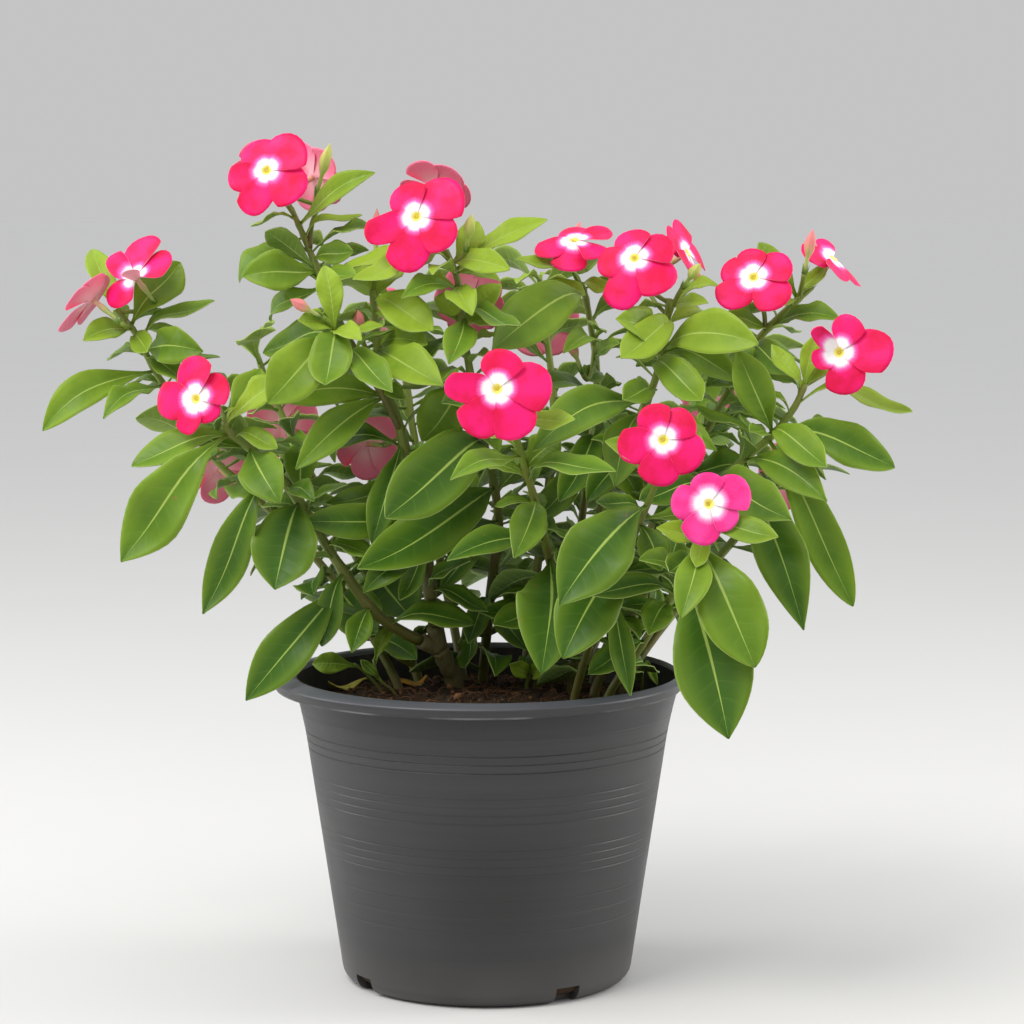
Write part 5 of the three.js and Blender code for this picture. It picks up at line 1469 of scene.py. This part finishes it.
def grow_stem(node):
    corners = corner_finder(node)
    mesh = new_plant_mesh()
    luck = random.Random(node)
    blades = set()
    for name, (owner, _, path) in SHOOTS.items():
        if owner != node:
            continue
        green = add_shoot(mesh, name)
        for at, foot, way in stalks_of(name):
            green += add_stalk(mesh, line_point(path, at) * MM, foot, way)
        for face in green:
            face.material_index = 2
        leaves = [(at, leaf_tip(corners, (x, y, z)), width, facing, LEAF_STEPS, LEAF_COLUMNS)
                  for at, x, y, z, width, facing in ALL_LEAVES.get(name, [])]
        leaves += [(at, tip * MM, width, FILL_FACING, INNER_STEPS, INNER_COLUMNS)
                   for at, tip, width in INNER.get(name, [])]
        for at, tip, width, facing, steps, columns in leaves:
            if tip is None:
                print("no leaf at", name, round(at, 2))
                continue
            base = line_point(path, at) * MM
            age, axes = leaf_age(name, at, (tip - base).length), leaf_axes(base, tip, facing)
            blades |= add_leaf(mesh, base, tip, width * MM, axes, age, luck, steps, columns)
    close_sheets(mesh, blades, LEAF_SHEET, 1)
    return finish_piece(mesh, node, [leaf_upper, leaf_under, stem_green])


leafy_nodes = sorted({node for node, _, _ in SHOOTS.values()})
for node in leafy_nodes:
    piece = grow_stem(node)
    print(piece.name, "has", len(piece.data.polygons), "faces")

# %% [markdown]
# ### The woody base
# Two stems share a short brown trunk at the left of the middle. It is a thicker tube from the
# soil to the fork, with a stub for each stem, in bark that is streaked along its length.

# %% Woody base
bark = new_finish("bark", Roughness=0.75, Specular_IOR_Level=0.3)
place = object_place()
streak = speckle(stretched(place, (1, 1, 0.2)), 380.0, 5.0, 0.65)
patch = speckle(place, 60.0, 3.0)
colour = layered((0.05, 0.042, 0.014), (streak, (0.2, 0.18, 0.07)),
                 (ease(patch, 0.45, 0.7), (0.13, 0.13, 0.05)))
paint(colour, streak, 0.8, 0.001)

TRUNK_STEPS = 15
TRUNK_SIDES = 14
TRUNK_SWELL = 0.08
STUB_STEPS = 4
STUB_COLLAR = 0.4

foot, top = TRUNK_RADII
base_mesh = new_plant_mesh()
rings = range(TRUNK_STEPS + 1)
centres = [line_point(TRUNK_PATH, k / (TRUNK_STEPS / 3)) * MM for k in rings]
swell = [1 + TRUNK_SWELL * math.sin(2.3 * k) for k in rings]
widths = [swell[k] * (foot + (top - foot) * k / TRUNK_STEPS) * MM for k in rings]
sweep(base_mesh, centres, widths, TRUNK_SIDES, [0] * len(rings))
for name in SEATED:
    _, radii, path = SHOOTS[name]
    rings = range(STUB_STEPS + 1)
    centres = [line_point(path, STUB_POINT * k / STUB_STEPS) * MM for k in rings]
    widths = [(top + (radii[0] + STUB_COLLAR - top) * k / STUB_STEPS) * MM for k in rings]
    sweep(base_mesh, centres, widths, TRUNK_SIDES, [0] * len(rings))
woody_base = finish_piece(base_mesh, "woody_base", [bark])
print("woody base has", len(woody_base.data.polygons), "faces")

# %% Open the flowers and set the buds
for name, (_, _, eye, facing, petals) in BLOOMS.items():
    mesh = new_plant_mesh()
    luck = random.Random(name)
    axes = flower_axes(facing)
    eye = Vector(eye) * MM
    sheets = set()
    tone = luck.random()
    for k in range(len(petals)):
        sheets |= add_petal(mesh, eye, axes, petals, k, luck, tone)
    close_sheets(mesh, sheets, PETAL_SHEET, 1)
    for face in add_flower_tube(mesh, eye, axes[0]):
        face.material_index = 2 if len(face.verts) == 4 else 0
    for face in add_sepals(mesh, eye - axes[0] * TUBE * MM, axes[0], luck):
        face.material_index = 3
    is_magenta = name == "bloom_low_right"
    upper, back = (petal_magenta, magenta_back) if is_magenta else (petal_pink, petal_back)
    slot = "petal_magenta" if is_magenta else "petal_pink"
    finish_piece(mesh, name, [upper, back, tube_finish, sepal_green])

for name, (_, _, foot, tip, slot) in BUDS.items():
    mesh = new_plant_mesh()
    foot, tip = Vector(foot) * MM, Vector(tip) * MM
    add_bud(mesh, foot, tip)
    for face in add_sepals(mesh, foot, (tip - foot).normalized(), random.Random(name)):
        face.material_index = 1
    finish_piece(mesh, name, [bud_pink if slot == "bud_pink" else bud_green, sepal_green])
print("opened", len(BLOOMS), "flowers and set", len(BUDS), "buds")

# %% [markdown]
# ## Fallen leaves
# An olive leaf and an orange one lie on the soil, dried and upside down, with their edges
# bent down. They are the same blade turned over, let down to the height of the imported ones.

# %% Fallen leaves
FALLEN = {
    "fallen_olive_leaf": ((-62, 46), (-81, 34), 13, (0.36, 0.3, 0.04), (0.5, 0.44, 0.08)),
    "fallen_orange_leaf": ((-31, 44), (-46, 32), 12, (0.55, 0.24, 0.03), (0.7, 0.38, 0.06)),
}
for name, (foot, tip, width, dark, light) in FALLEN.items():
    dry = new_finish(name, Roughness=0.6, Specular_IOR_Level=0.35)
    blotch = speckle(object_place(), 160.0, 4.0)
    paint(blend(ease(blotch, 0.3, 0.7), dark, light), blotch, 0.5, 0.0008)
    mesh = new_plant_mesh()
    base, tip = Vector((*foot, 0)) * MM, Vector((*tip, 0)) * MM
    along, across, out = leaf_axes(base, tip, 0)
    blade = add_leaf(mesh, base, tip, width * MM, (along, -across, -out), 0, random.Random(name))
    close_sheets(mesh, blade, LEAF_SHEET, 0)
    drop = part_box(name)[0].z - min(vert.co.z for vert in mesh.verts)
    bmesh.ops.translate(mesh, vec=(0, 0, drop), verts=mesh.verts)
    finish_piece(mesh, name, [dry])
    print(name, "lies at", round(drop / MM, 1), "mm")
